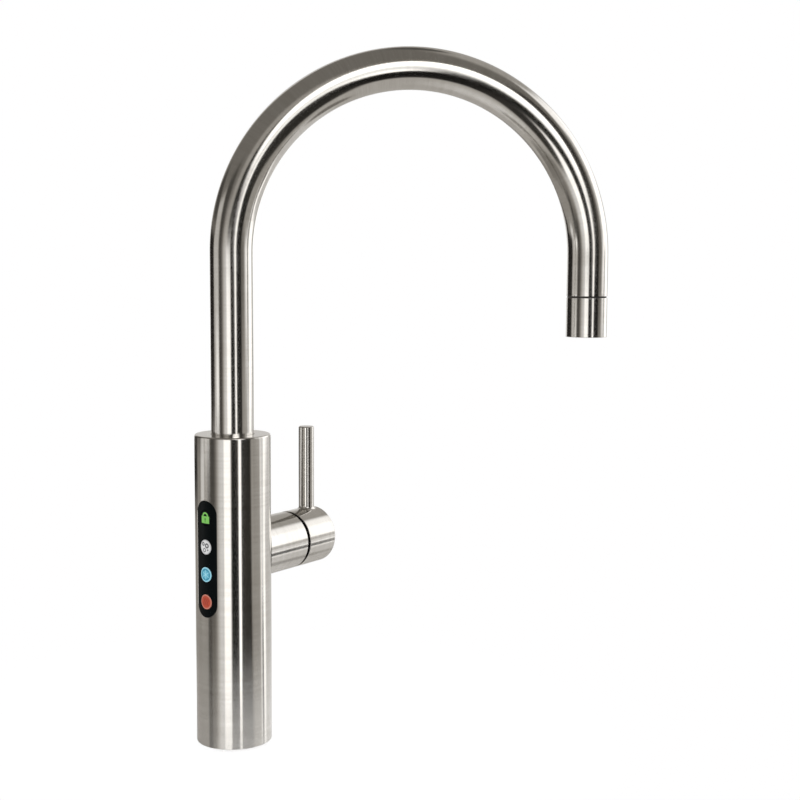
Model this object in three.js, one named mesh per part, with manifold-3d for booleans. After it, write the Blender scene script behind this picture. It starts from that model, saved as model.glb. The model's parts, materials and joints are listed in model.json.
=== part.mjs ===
// A boiling water tap: an upright round body with a touch panel on one side and a single
// lever on the other, under an arched spout that swivels.
// Millimetres, +Z up. The origin is the centre of the body's foot on the worktop, and the
// spout at rest reaches along +X.

import * as THREE from 'three';
import { mergeVertices } from 'three/addons/utils/BufferGeometryUtils.js';
import Module from 'manifold-3d';

const wasm = await Module();
wasm.setup();

// ---------------------------------------------------------------- driving dimensions

const FIT = 0.3; // gap left between pieces that touch, slide or turn on each other
const PAST = 1; // how far a cutter runs past what it cuts

// Body
const BODY_DIAMETER = 50;
const BODY_HEIGHT = 206;
const BODY_WALL = 2.2;
const BODY_TOP_THICKNESS = 5;
const BODY_RIM_CHAMFER = 0.6;

// Foot of the body
const BASE_SEAL_THICKNESS = 3;
const BASE_SEAL_WIDTH = 3.5;
const BASE_PLATE_THICKNESS = 8;
const STUD_THREAD_DIAMETER = 6.8; // tapped for an M8 fixing stud
const STUD_OFFSET = 12; // from the body's axis

// Spout
const SPOUT_DIAMETER = 28;
const SPOUT_WALL = 1.5;
const SPOUT_REACH = 244; // body axis to outlet axis
const SPOUT_LEG_TOP = 324.5; // where the arch begins, above the worktop
const OUTLET_HEIGHT = 268.5; // mouth of the outlet, above the worktop
const OUTLET_SLEEVE_LENGTH = 27;
const OUTLET_GROOVE = 1; // open ring between the spout and its outlet sleeve
const OUTLET_LIP_WIDTH = 2.8;
const OUTLET_LIP_DEPTH = 2;
const AERATOR_DEPTH = 8.6;
const AERATOR_WALL = 1.8;
const FLOW_GRID_THICKNESS = 2.5;
const FLOW_HOLE_DIAMETER = 2;
const FLOW_HOLE_COUNT = 12;
const GASKET_THICKNESS = 1;
const ADAPTER_WALL = 2.7;
const ADAPTER_RISE = 10; // how far the outlet adapter reaches up into the spout

// Lines that run inside the spout, one within the other
const FILTERED_LINE_DIAMETER = 11;
const FILTERED_LINE_WALL = 1.2;
const BOILING_LINE_DIAMETER = 5.6;
const BOILING_LINE_WALL = 0.8;
const SPACER_WALL = 1; // ring and ribs that centre the filtered line
const JET_GUIDE_WALL = 0.5; // ring and ribs that centre the boiling line

// Swivel, from the top of the body down
const BUSH_LENGTH = 15.6;
const COLLAR_DIAMETER = 32;
const COLLAR_THICKNESS = 3;
const THRUST_WASHER_THICKNESS = 1.2;
const JOURNAL_WALL = 3.6;
const JOURNAL_PLUG_LENGTH = 12;
const SWIVEL_SEAT_DEPTH = 17;
const SWIVEL_SEAT_FLOOR = 1.2;
const NECK_WALL = 2.3;
const NECK_ENGAGEMENT = 6.4;
const O_RING_THICKNESS = 1.7;
const O_RING_SPACING = 7;

// Valve block, its supply lines and the tee under it
const BLOCK_HALF_HEIGHT = 18;
const SUPPLY_LINE_DIAMETER = 8;
const SUPPLY_LINE_WALL = 1;
const SUPPLY_LINE_SETBACK = 2.2; // supply line axes to the cartridge pocket's floor
const SUPPLY_LINE_SPREAD = 11; // either side of the body's middle plane
const LINE_ENGAGEMENT = 6;
const CHAMBER_RISE = 3; // floor of the mixed water chamber, above the valve's axis
const FILTERED_ENGAGEMENT = 9;
const TEE_GAP = 6; // between the tee and the valve block
const TEE_HEIGHT = 14;
const TEE_RADIUS = 8;
const TEE_OFFSET = 12; // filtered supply line to the body's axis
const TEE_CHANNEL_DIAMETER = 5;

// Valve barrel, cartridge and lever
const LEVER_AZIMUTH = 43.7; // degrees from the spout at rest
const BARREL_DROP = 80.3; // barrel axis below the top of the body
const BARREL_DIAMETER = 39.4;
const BARREL_WALL = 3.2;
const BARREL_REACH = 55.6; // body axis to the end of the fixed barrel
const SEAM_WIDTH = 2.3;
const SEAM_DEPTH = 1.4;
const SEAM_SPIGOT_LENGTH = 4.5; // part of the seam ring that sits in the barrel
const SEAM_CLEARANCE = 1.2; // around the lever's carrier
const LEVER_CAP_LENGTH = 28.8;
const LEVER_CAP_FILLET = 1.2;
const LEVER_CAP_POCKET = 12.4; // depth of the pocket for the lever's carrier
const ROD_DIAMETER = 10.8;
const ROD_SETBACK = 20.1; // near end of the lever's cap to the rod's axis
const ROD_TOP = 77.9; // above the barrel axis
const ROD_CHAMFER = 0.6;
const ROD_SOCKET_DEPTH = 11.5;
const CARTRIDGE_INSET = 9.8; // side of the body to the floor of the cartridge pocket
const CARTRIDGE_DIAMETER = 27.8;
const CARTRIDGE_WALL = 2.9;
const CARTRIDGE_FLOOR = 3;
const CERAMIC_THICKNESS = 3;
const PORT_DIAMETER = 4.4;
const PORT_OFFSET = 7;
const MIXED_PORT_RISE = 6;
const SPINDLE_DIAMETER = 9;
const SPINDLE_FLANGE_DIAMETER = 17;
const SPINDLE_FLANGE_THICKNESS = 3;
const SPINDLE_ENGAGEMENT = 4.1; // how far the spindle reaches into the lever's cap
const NUT_THICKNESS = 8;
const NUT_WALL = 6.7;
const CARRIER_DIAMETER = 23.4;
const CARRIER_LEAD = 3.9; // how far the carrier stands out of the lever's cap
const SET_SCREW_DIAMETER = 5;
const SET_SCREW_SETBACK = 6.1; // near end of the lever's cap to the screw's axis
const SET_SCREW_RECESS = 0.5;
const HEX_KEY_SIZE = 2.5;
const HEX_SOCKET_DEPTH = 2;

// Touch panel
const PANEL_AZIMUTH = 219; // degrees from the spout at rest
const PANEL_DROP = 80.15; // panel centre below the top of the body
const PANEL_WIDTH = 17.5;
const PANEL_LENGTH = 76.7;
const KEY_DIAMETER = 9.8;
const KEY_TRAVEL = 0.5;
const KEY_FLANGE_WIDTH = 1.2;
const KEY_FLANGE_THICKNESS = 0.8;
const KEY_TOP_MARGIN = 11.1; // top of the panel to the centre of the lock key
const KEY_FOOT_MARGIN = 10.1; // foot of the panel to the centre of the boiling key
const LOCK_EXTRA_SPACING = 1.1; // the lock key stands this much further off
const KEYPAD_THICKNESS = 1;
const BOARD_THICKNESS = 1.5;
const TRAY_FLOOR = 1.5;
const TRAY_WALL = 1.3;
const TRAY_END_MARGIN = 1; // end of the panel to the end of the tray
const BOARD_MARGIN = 2; // end of the tray's inside to the end of the board
const SCREW_DIAMETER = 2;
const SCREW_HEAD_DIAMETER = 3.8;
const SCREW_HEAD_THICKNESS = 0.9;
const LEAD_DIAMETER = 2.8;
const GROMMET_WALL = 1.3;
const GROMMET_FLANGE = 1.2;

// Sides of the round pieces
const BODY_SIDES = 48;
const BARREL_SIDES = 32;
const SPOUT_SIDES = 24;
const SMALL_SIDES = 16;
const THIN_SIDES = 10;
const BOILING_LINE_SIDES = 8;
const FINE_HOLE_SIDES = 6;
const FILLET_STEPS = 3;
const ARCH_STEPS = 24;

// ---------------------------------------------------------------- places that follow

const bodyRadius = BODY_DIAMETER / 2;
const bodyBore = bodyRadius - BODY_WALL;
const insideRadius = bodyBore - FIT; // pieces that fill the body
const spoutRadius = SPOUT_DIAMETER / 2;
const spoutBore = spoutRadius - SPOUT_WALL;
const archRadius = SPOUT_REACH / 2;
const filteredRadius = FILTERED_LINE_DIAMETER / 2;
const filteredBore = filteredRadius - FILTERED_LINE_WALL;
const boilingRadius = BOILING_LINE_DIAMETER / 2;
const boilingBore = boilingRadius - BOILING_LINE_WALL;

const bushTop = BODY_HEIGHT - BODY_TOP_THICKNESS - FIT;
const spoutFoot = bushTop - BUSH_LENGTH;
const collarTop = spoutFoot - FIT;
const collarFoot = collarTop - COLLAR_THICKNESS;
const washerTop = collarFoot - FIT;
const washerFoot = washerTop - THRUST_WASHER_THICKNESS;
const seatTop = washerFoot - FIT;
const seatFoot = seatTop - SWIVEL_SEAT_DEPTH;
const journalRadius = spoutBore - FIT;
const journalBore = journalRadius - JOURNAL_WALL;
const journalFoot = seatFoot + SWIVEL_SEAT_FLOOR + FIT;
const neckRadius = journalBore + NECK_WALL;

const barrelHeight = BODY_HEIGHT - BARREL_DROP;
const blockTop = barrelHeight + BLOCK_HALF_HEIGHT;
const blockFoot = barrelHeight - BLOCK_HALF_HEIGHT;
const neckFoot = blockTop - NECK_ENGAGEMENT;
const chamberFoot = barrelHeight + CHAMBER_RISE;
const filteredFoot = chamberFoot - FILTERED_ENGAGEMENT;
const teeTop = blockFoot - TEE_GAP;
const teeFoot = teeTop - TEE_HEIGHT;
const basePlateFoot = BASE_SEAL_THICKNESS + FIT;
const basePlateTop = basePlateFoot + BASE_PLATE_THICKNESS;
const lineFoot = basePlateFoot + FIT;
const supplyRadius = SUPPLY_LINE_DIAMETER / 2;

const sleeveTop = OUTLET_HEIGHT + OUTLET_SLEEVE_LENGTH;
const spoutEnd = sleeveTop + OUTLET_GROOVE;
const aeratorFoot = OUTLET_HEIGHT + OUTLET_LIP_DEPTH + FIT;
const aeratorTop = aeratorFoot + AERATOR_DEPTH;
const gasketFoot = aeratorTop + FIT;
const adapterFoot = gasketFoot + GASKET_THICKNESS + FIT;
const lineEnd = OUTLET_HEIGHT + OUTLET_LIP_DEPTH;

const barrelRadius = BARREL_DIAMETER / 2;
const barrelBore = barrelRadius - BARREL_WALL;
const cartridgeRadius = CARTRIDGE_DIAMETER / 2;
const cartridgeSeat = bodyRadius - CARTRIDGE_INSET; // body axis to the pocket's floor
const cartridgeSeal = cartridgeSeat + FIT;
const supplyStation = cartridgeSeat - SUPPLY_LINE_SETBACK;
const cartridgeStart = cartridgeSeal + GASKET_THICKNESS + FIT;
const seamStart = BARREL_REACH + FIT;
const spigotStart = seamStart - SEAM_SPIGOT_LENGTH;
const nutEnd = spigotStart - FIT;
const nutStart = nutEnd - NUT_THICKNESS;
const cartridgeEnd = nutStart - FIT;
const cartridgeBore = cartridgeRadius - CARTRIDGE_WALL;
const fixedDiscStart = cartridgeStart + CARTRIDGE_FLOOR + FIT;
const movingDiscStart = fixedDiscStart + CERAMIC_THICKNESS + FIT;
const spindleStart = movingDiscStart + CERAMIC_THICKNESS + FIT;
const cartridgeCapStart = spindleStart + SPINDLE_FLANGE_THICKNESS + FIT;
const spindleRadius = SPINDLE_DIAMETER / 2;
const seamRingRadius = barrelRadius - SEAM_DEPTH;
const leverStart = BARREL_REACH + SEAM_WIDTH;
const leverEnd = leverStart + LEVER_CAP_LENGTH;
const rodStation = leverStart + ROD_SETBACK;
const spindleEnd = leverStart + SPINDLE_ENGAGEMENT;
const carrierStart = leverStart - CARRIER_LEAD;
const setScrewStation = leverStart + SET_SCREW_SETBACK;
const carrierRadius = CARRIER_DIAMETER / 2;
const leverPocketEnd = leverStart + LEVER_CAP_POCKET;
const rodRadius = ROD_DIAMETER / 2;
const rodFoot = barrelRadius - ROD_SOCKET_DEPTH;

/** Distance from a round bar's axis to a chord that is twice the half-width long. */
const chordDepth = (radius, halfWidth) => Math.sqrt(radius ** 2 - halfWidth ** 2);

const panelHeight = BODY_HEIGHT - PANEL_DROP;
const keyRadius = KEY_DIAMETER / 2;
const keyFlangeRadius = keyRadius + KEY_FLANGE_WIDTH;
const keyFlangeFront = chordDepth(bodyBore, keyFlangeRadius) - FIT;
const keyBack = keyFlangeFront - KEY_FLANGE_THICKNESS;
const keypadFront = keyBack - KEY_TRAVEL - FIT;
const keypadBack = keypadFront - KEYPAD_THICKNESS;
const boardFront = keypadBack - FIT;
const boardBack = boardFront - BOARD_THICKNESS;
const trayFloorFront = boardBack - FIT;
const trayBack = trayFloorFront - TRAY_FLOOR;
const flatDepth = trayBack - FIT; // flat on the inner pieces that the tray stands against
const boardHalfWidth = PANEL_WIDTH / 2;
const trayPocketHalfWidth = boardHalfWidth + FIT;
const trayHalfWidth = trayPocketHalfWidth + TRAY_WALL;
const trayFront = chordDepth(insideRadius, trayHalfWidth);
const trayHalfLength = PANEL_LENGTH / 2 + TRAY_END_MARGIN;
const trayPocketHalfLength = trayHalfLength - TRAY_WALL;
const boardHalfLength = trayPocketHalfLength - BOARD_MARGIN;
const leadRadius = LEAD_DIAMETER / 2;
const leadDepth = (boardFront + boardBack) / 2;

// Heights of the keys from the panel's centre, the boiling key lowest
const keyBottom = KEY_FOOT_MARGIN - PANEL_LENGTH / 2;
const keySpacing = (PANEL_LENGTH - KEY_TOP_MARGIN - KEY_FOOT_MARGIN - LOCK_EXTRA_SPACING) / 3;
const keyHeights = {
  key_boiling: keyBottom,
  key_chilled: keyBottom + keySpacing,
  key_sparkling: keyBottom + 2 * keySpacing,
  key_lock: keyBottom + 3 * keySpacing + LOCK_EXTRA_SPACING,
};
const screwHeights = {
  board_screw_lower: (keyHeights.key_boiling + keyHeights.key_chilled) / 2,
  board_screw_upper: (keyHeights.key_sparkling + keyHeights.key_lock) / 2,
};

// ---------------------------------------------------------------- shape helpers

/** A closed geometry as a solid that can be joined and cut. */
function solid(geometry) {
  const bare = geometry.clone();
  bare.deleteAttribute('normal');
  bare.deleteAttribute('uv');
  const merged = mergeVertices(bare);
  const corners = merged.index.array;
  const triVerts = [];
  for (let i = 0; i < corners.length; i += 3) {
    const [a, b, c] = corners.slice(i, i + 3);
    if (a !== b && b !== c && c !== a) triVerts.push(a, b, c);
  }
  return new wasm.Manifold(new wasm.Mesh({
    numProp: 3,
    vertProperties: new Float32Array(merged.getAttribute('position').array),
    triVerts: new Uint32Array(triVerts),
  }));
}

/** A solid as a geometry. */
function geometryOf(body) {
  const { vertProperties, triVerts } = body.getMesh();
  const geometry = new THREE.BufferGeometry();
  geometry.setAttribute('position', new THREE.BufferAttribute(new Float32Array(vertProperties), 3));
  geometry.setIndex(new THREE.BufferAttribute(new Uint32Array(triVerts), 1));
  geometry.computeVertexNormals();
  return geometry;
}

const cut = (geometry, ...cutters) =>
  geometryOf(cutters.reduce((body, cutter) => body.subtract(solid(cutter)), solid(geometry)));

const join = (geometry, ...others) =>
  geometryOf(others.reduce((body, other) => body.add(solid(other)), solid(geometry)));

const common = (geometry, other) => geometryOf(solid(geometry).intersect(solid(other)));

/** A piece turned about the z axis, from [radius, z] corners that go up its outside. */
function turned(corners, sides = SMALL_SIDES) {
  const outline = corners.map(([radius, z]) => new THREE.Vector2(radius, z));
  outline.push(outline[0].clone());
  return new THREE.LatheGeometry(outline, sides).rotateX(Math.PI / 2);
}

const pin = (radius, low, high, sides = SMALL_SIDES) =>
  turned([[0, low], [radius, low], [radius, high], [0, high]], sides);

const ring = (outer, inner, low, high, sides = SMALL_SIDES) =>
  turned([[inner, low], [outer, low], [outer, high], [inner, high]], sides);

/** A flat outline pushed from low to high along z. */
const pushed = (shape, low, high, curveSegments = 8) =>
  new THREE.ExtrudeGeometry(shape, { depth: high - low, bevelEnabled: false, curveSegments })
    .translate(0, 0, low);

/** A box from its lowest to its highest corner. */
function block([x0, y0, z0], [x1, y1, z1]) {
  return new THREE.BoxGeometry(x1 - x0, y1 - y0, z1 - z0)
    .translate((x0 + x1) / 2, (y0 + y1) / 2, (z0 + z1) / 2);
}

/** The same shape moved along x and y. */
const moved = (geometry, x, y) => geometry.clone().translate(x, y, 0);

/** A slot outline with round ends, upright along y. */
function slotOutline(width, length) {
  const radius = width / 2;
  const straight = length / 2 - radius;
  const outline = new THREE.Shape();
  outline.absarc(0, straight, radius, 0, Math.PI);
  outline.absarc(0, -straight, radius, Math.PI, 2 * Math.PI);
  return outline;
}

/** A frame whose z points out of the body at an azimuth and whose y points up. */
function facing(azimuth, height) {
  const angle = THREE.MathUtils.degToRad(azimuth);
  const out = new THREE.Vector3(Math.cos(angle), Math.sin(angle), 0);
  const up = new THREE.Vector3(0, 0, 1);
  return new THREE.Matrix4()
    .makeBasis(new THREE.Vector3().crossVectors(up, out), up, out)
    .setPosition(0, 0, height);
}

/** The spout's centreline: up its leg, over the arch and down to an end. */
class SpoutLine extends THREE.Curve {
  constructor(foot, end) {
    super();
    this.foot = foot;
    this.end = end;
  }

  station(share) {
    return share * (ARCH_STEPS + 2) - 1;
  }

  angle(share) {
    return Math.PI * THREE.MathUtils.clamp(this.station(share) / ARCH_STEPS, 0, 1);
  }

  getPointAt(share) {
    const station = this.station(share);
    const angle = this.angle(share);
    const x = archRadius * (1 - Math.cos(angle));
    const leg = Math.max(0, -station) * (SPOUT_LEG_TOP - this.foot);
    const fall = Math.max(0, station - ARCH_STEPS) * (SPOUT_LEG_TOP - this.end);
    return new THREE.Vector3(x, 0, SPOUT_LEG_TOP + archRadius * Math.sin(angle) - leg - fall);
  }

  getTangentAt(share) {
    const angle = this.angle(share);
    return new THREE.Vector3(Math.sin(angle), 0, Math.cos(angle));
  }
}

const circlePoints = (radius, sides) => Array.from({ length: sides }, (_, i) => {
  const angle = (2 * Math.PI * i) / sides;
  return new THREE.Vector2(radius * Math.cos(angle), radius * Math.sin(angle));
});

/** A pipe along the spout's centreline. */
function spoutPipe(outer, inner, foot, end, outerSides, innerSides) {
  const section = new THREE.Shape(circlePoints(outer, outerSides));
  section.holes.push(new THREE.Path(circlePoints(inner, innerSides)));
  return new THREE.ExtrudeGeometry(section, {
    steps: ARCH_STEPS + 2,
    extrudePath: new SpoutLine(foot, end),
  });
}

/** A ring with three ribs, which centres one pipe inside another. */
function ribbedRing(outer, inner, wall, low, high) {
  const ribs = [0, 1, 2].map((i) => block([0, -wall / 2, low], [outer, wall / 2, high])
    .rotateZ((2 * Math.PI * i) / 3));
  const star = common(join(pin(inner + wall, low, high), ...ribs), pin(outer, low, high));
  return cut(star, pin(inner, low - PAST, high + PAST));
}

// ---------------------------------------------------------------- materials

const finish = (color, roughness, metalness) => () =>
  new THREE.MeshStandardMaterial({ color, roughness, metalness });

const steel = finish(0xb3b0a9, 0.3, 1);
const brass = finish(0xb5975a, 0.4, 1);
const rubber = finish(0x161616, 0.8, 0);
const blackPlastic = finish(0x1b1c1d, 0.5, 0);
const whitePlastic = finish(0xe4e4df, 0.5, 0);
const glossBlack = finish(0x060808, 0.08, 0);
const ceramic = finish(0xeeeae2, 0.3, 0);
const boardGreen = finish(0x1f5a33, 0.5, 0);
const greyRubber = finish(0x8c8e8e, 0.7, 0);
const keyColors = {
  key_lock: glossBlack,
  key_sparkling: finish(0xd8d8d6, 0.25, 0),
  key_chilled: finish(0x63aabf, 0.25, 0),
  key_boiling: finish(0xb2533f, 0.25, 0),
};

// ---------------------------------------------------------------- assembly

const tap = new THREE.Group();
const body = new THREE.Group(); // its x points out along the valve barrel
const valve = new THREE.Group(); // its z points out along the valve barrel
const panel = new THREE.Group(); // its z points out through the panel
const spout = new THREE.Group();
const outlet = new THREE.Group(); // stands on the outlet's axis
tap.add(body, spout);
body.add(valve, panel);
spout.add(outlet);
body.rotation.z = THREE.MathUtils.degToRad(LEVER_AZIMUTH);
const valveFrame = facing(0, barrelHeight);
const panelFrame = facing(PANEL_AZIMUTH - LEVER_AZIMUTH, panelHeight);
valve.applyMatrix4(valveFrame);
panel.applyMatrix4(panelFrame);
outlet.position.x = SPOUT_REACH;

function add(group, name, geometry, material) {
  const mesh = new THREE.Mesh(geometryOf(solid(geometry)), material());
  mesh.name = name;
  group.add(mesh);
}

/** A shape of the valve's frame, brought into the body's frame. */
const fromValve = (geometry) => geometry.clone().applyMatrix4(valveFrame);

/** A shape of the panel's frame, brought into the body's frame. */
const fromPanel = (geometry) => geometry.clone().applyMatrix4(panelFrame);

const flatCutter = fromPanel(block(
  [-bodyRadius, -BODY_HEIGHT, flatDepth], [bodyRadius, BODY_HEIGHT, bodyRadius + PAST]));

/** The x and y of the two supply lines, hot first. */
const supplyPlaces = [1, -1].map((side) => [supplyStation, side * SUPPLY_LINE_SPREAD]);

function addBody() {
  const shell = turned([
    [bodyBore, 0],
    [bodyRadius, 0],
    [bodyRadius, BODY_HEIGHT - BODY_RIM_CHAMFER],
    [bodyRadius - BODY_RIM_CHAMFER, BODY_HEIGHT],
    [spoutRadius + FIT, BODY_HEIGHT],
    [spoutRadius + FIT, BODY_HEIGHT - BODY_TOP_THICKNESS],
    [bodyBore, BODY_HEIGHT - BODY_TOP_THICKNESS],
  ], BODY_SIDES);
  const panelSlot = slotOutline(PANEL_WIDTH + 2 * FIT, PANEL_LENGTH + 2 * FIT);
  add(body, 'body_shell', cut(
    shell,
    fromValve(pin(cartridgeRadius + FIT, 0, bodyRadius + PAST, BARREL_SIDES)),
    fromPanel(pushed(panelSlot, 0, bodyRadius + PAST)),
  ), steel);
  add(body, 'base_seal', ring(insideRadius, insideRadius - BASE_SEAL_WIDTH, 0,
    BASE_SEAL_THICKNESS, BARREL_SIDES), rubber);

  const plateHole = (radius, x, y) =>
    moved(pin(radius, basePlateFoot - PAST, basePlateTop + PAST), x, y);
  const leadHole = moved(pin(leadRadius + FIT + GROMMET_WALL + FIT, -PAST,
    basePlateTop + PAST), ...leadPlace());
  add(body, 'base_plate', cut(
    pin(insideRadius, basePlateFoot, basePlateTop, BARREL_SIDES),
    ...supplyPlaces.map(([x, y]) => plateHole(supplyRadius + FIT, x, y)),
    plateHole(supplyRadius + FIT, 0, TEE_OFFSET),
    plateHole(boilingRadius + FIT, 0, 0),
    plateHole(STUD_THREAD_DIAMETER / 2, 0, -STUD_OFFSET),
    leadHole,
  ), brass);
}

/** Where the board's lead runs down through the body, in x and y. */
function leadPlace() {
  const place = new THREE.Vector3(0, 0, leadDepth).applyMatrix4(panelFrame);
  return [place.x, place.y];
}

function addSupplyLines() {
  const names = ['hot_supply_line', 'cold_supply_line'];
  supplyPlaces.forEach(([x, y], i) => {
    add(body, names[i], moved(ring(supplyRadius, supplyRadius - SUPPLY_LINE_WALL, lineFoot,
      blockFoot + LINE_ENGAGEMENT), x, y), steel);
  });
  add(body, 'filtered_supply_line', moved(ring(supplyRadius, supplyRadius - SUPPLY_LINE_WALL,
    lineFoot, teeFoot + LINE_ENGAGEMENT), 0, TEE_OFFSET), whitePlastic);
  add(body, 'filtered_riser', ring(filteredRadius, filteredBore, teeTop - LINE_ENGAGEMENT,
    filteredFoot - FIT), whitePlastic);
  add(body, 'boiling_riser', ring(boilingRadius, boilingBore, lineFoot, filteredFoot - FIT,
    THIN_SIDES), steel);
  addTee();
}

function addTee() {
  const outline = slotOutline(2 * TEE_RADIUS, TEE_OFFSET + 2 * TEE_RADIUS);
  const channelHeight = (teeFoot + teeTop) / 2;
  const channel = pin(TEE_CHANNEL_DIAMETER / 2, 0, TEE_OFFSET)
    .rotateX(-Math.PI / 2)
    .translate(0, 0, channelHeight);
  add(body, 'filtered_tee', cut(
    moved(pushed(outline, teeFoot, teeTop), 0, TEE_OFFSET / 2),
    pin(filteredRadius + FIT, teeTop - LINE_ENGAGEMENT - FIT, teeTop + PAST),
    pin(filteredBore, channelHeight, teeTop),
    pin(boilingRadius + FIT, teeFoot - PAST, channelHeight),
    moved(pin(supplyRadius + FIT, teeFoot - PAST, teeFoot + LINE_ENGAGEMENT + FIT), 0, TEE_OFFSET),
    channel,
  ), brass);
}

function addValveBlock() {
  const sealDepth = FILTERED_ENGAGEMENT / 2;
  const sealFoot = chamberFoot - sealDepth;
  const sealRadius = filteredRadius + FIT + O_RING_THICKNESS;
  const supplyChannels = supplyPlaces.flatMap(([x, y]) => [
    moved(pin(supplyRadius + FIT, blockFoot - PAST, blockFoot + LINE_ENGAGEMENT + FIT), x, y),
    moved(pin(supplyRadius - SUPPLY_LINE_WALL, blockFoot, barrelHeight), x, y),
  ]);
  const mixedChannel = fromValve(pin(PORT_DIAMETER / 2, 0, cartridgeSeat + PAST)
    .translate(0, MIXED_PORT_RISE, 0));
  add(body, 'valve_block', cut(
    pin(insideRadius, blockFoot, blockTop, BARREL_SIDES),
    flatCutter,
    fromValve(pin(cartridgeRadius + FIT, cartridgeSeat, bodyRadius, BARREL_SIDES)),
    ...supplyChannels,
    mixedChannel,
    pin(neckRadius + FIT, neckFoot - FIT, blockTop + PAST),
    pin(journalBore, chamberFoot, blockTop),
    pin(filteredRadius + FIT, blockFoot - PAST, chamberFoot + PAST),
    pin(sealRadius + FIT, sealFoot - FIT, sealFoot + O_RING_THICKNESS + FIT),
  ), brass);
  add(body, 'filtered_line_seal', ring(sealRadius, filteredRadius + FIT, sealFoot,
    sealFoot + O_RING_THICKNESS), rubber);
}

function addSwivelSeat() {
  const seat = turned([
    [journalBore, neckFoot],
    [neckRadius, neckFoot],
    [neckRadius, seatFoot],
    [insideRadius, seatFoot],
    [insideRadius, seatTop],
    [spoutBore, seatTop],
    [spoutBore, seatFoot + SWIVEL_SEAT_FLOOR],
    [journalBore, seatFoot + SWIVEL_SEAT_FLOOR],
  ], BARREL_SIDES);
  add(body, 'swivel_seat', cut(seat, flatCutter), brass);
  add(body, 'thrust_washer', ring(insideRadius, spoutBore, washerFoot, washerTop,
    BARREL_SIDES), blackPlastic);
  add(body, 'spout_bush', turned([
    [COLLAR_DIAMETER / 2 + FIT, collarFoot],
    [insideRadius, collarFoot],
    [insideRadius, bushTop],
    [spoutRadius + FIT, bushTop],
    [spoutRadius + FIT, spoutFoot],
    [COLLAR_DIAMETER / 2 + FIT, spoutFoot],
  ], BARREL_SIDES), blackPlastic);
}

function addValve() {
  const saddle = new THREE.CylinderGeometry(bodyRadius + FIT, bodyRadius + FIT, BARREL_DIAMETER + 2 * PAST,
    BODY_SIDES);
  add(valve, 'valve_barrel', cut(
    ring(barrelRadius, barrelBore, 0, BARREL_REACH, BARREL_SIDES),
    saddle,
    block([-barrelRadius - PAST, -barrelRadius - PAST, -PAST],
      [barrelRadius + PAST, barrelRadius + PAST, PAST]),
  ), steel);

  const port = (x, y) => moved(pin(PORT_DIAMETER / 2, 0, BARREL_REACH, THIN_SIDES), x, y);
  const supplyPorts = [port(PORT_OFFSET, 0), port(-PORT_OFFSET, 0)];
  const mixedPort = port(0, MIXED_PORT_RISE);
  add(valve, 'cartridge_seal', cut(
    pin(cartridgeRadius, cartridgeSeal, cartridgeSeal + GASKET_THICKNESS),
    ...supplyPorts, mixedPort,
  ), rubber);
  add(valve, 'cartridge_body', cut(
    pin(cartridgeRadius, cartridgeStart, cartridgeEnd),
    pin(cartridgeBore, cartridgeStart + CARTRIDGE_FLOOR, cartridgeEnd + PAST),
    ...supplyPorts, mixedPort,
  ), whitePlastic);
  add(valve, 'fixed_ceramic_disc', cut(
    pin(cartridgeBore - FIT, fixedDiscStart, fixedDiscStart + CERAMIC_THICKNESS),
    ...supplyPorts, mixedPort,
  ), ceramic);
  add(valve, 'moving_ceramic_disc', cut(
    pin(cartridgeBore - 2 * FIT, movingDiscStart, movingDiscStart + CERAMIC_THICKNESS),
    mixedPort,
    port(0, 0),
  ), ceramic);
  add(valve, 'cartridge_cap', ring(cartridgeBore - FIT, spindleRadius + FIT, cartridgeCapStart,
    cartridgeEnd), whitePlastic);
  add(valve, 'cartridge_nut', ring(barrelBore - FIT, barrelBore - FIT - NUT_WALL, nutStart,
    nutEnd, BARREL_SIDES), brass);

  const seamBore = carrierRadius + SEAM_CLEARANCE;
  add(valve, 'seam_ring', turned([
    [seamBore, spigotStart],
    [barrelBore - FIT, spigotStart],
    [barrelBore - FIT, seamStart],
    [seamRingRadius, seamStart],
    [seamRingRadius, leverStart - FIT],
    [seamBore, leverStart - FIT],
  ], BARREL_SIDES), blackPlastic);
}

/** A pin along y of the valve's frame, at a distance from the body's axis. */
const uprightPin = (radius, low, high, station, sides = SMALL_SIDES) =>
  pin(radius, low, high, sides).rotateX(-Math.PI / 2).translate(0, 0, station);

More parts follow.
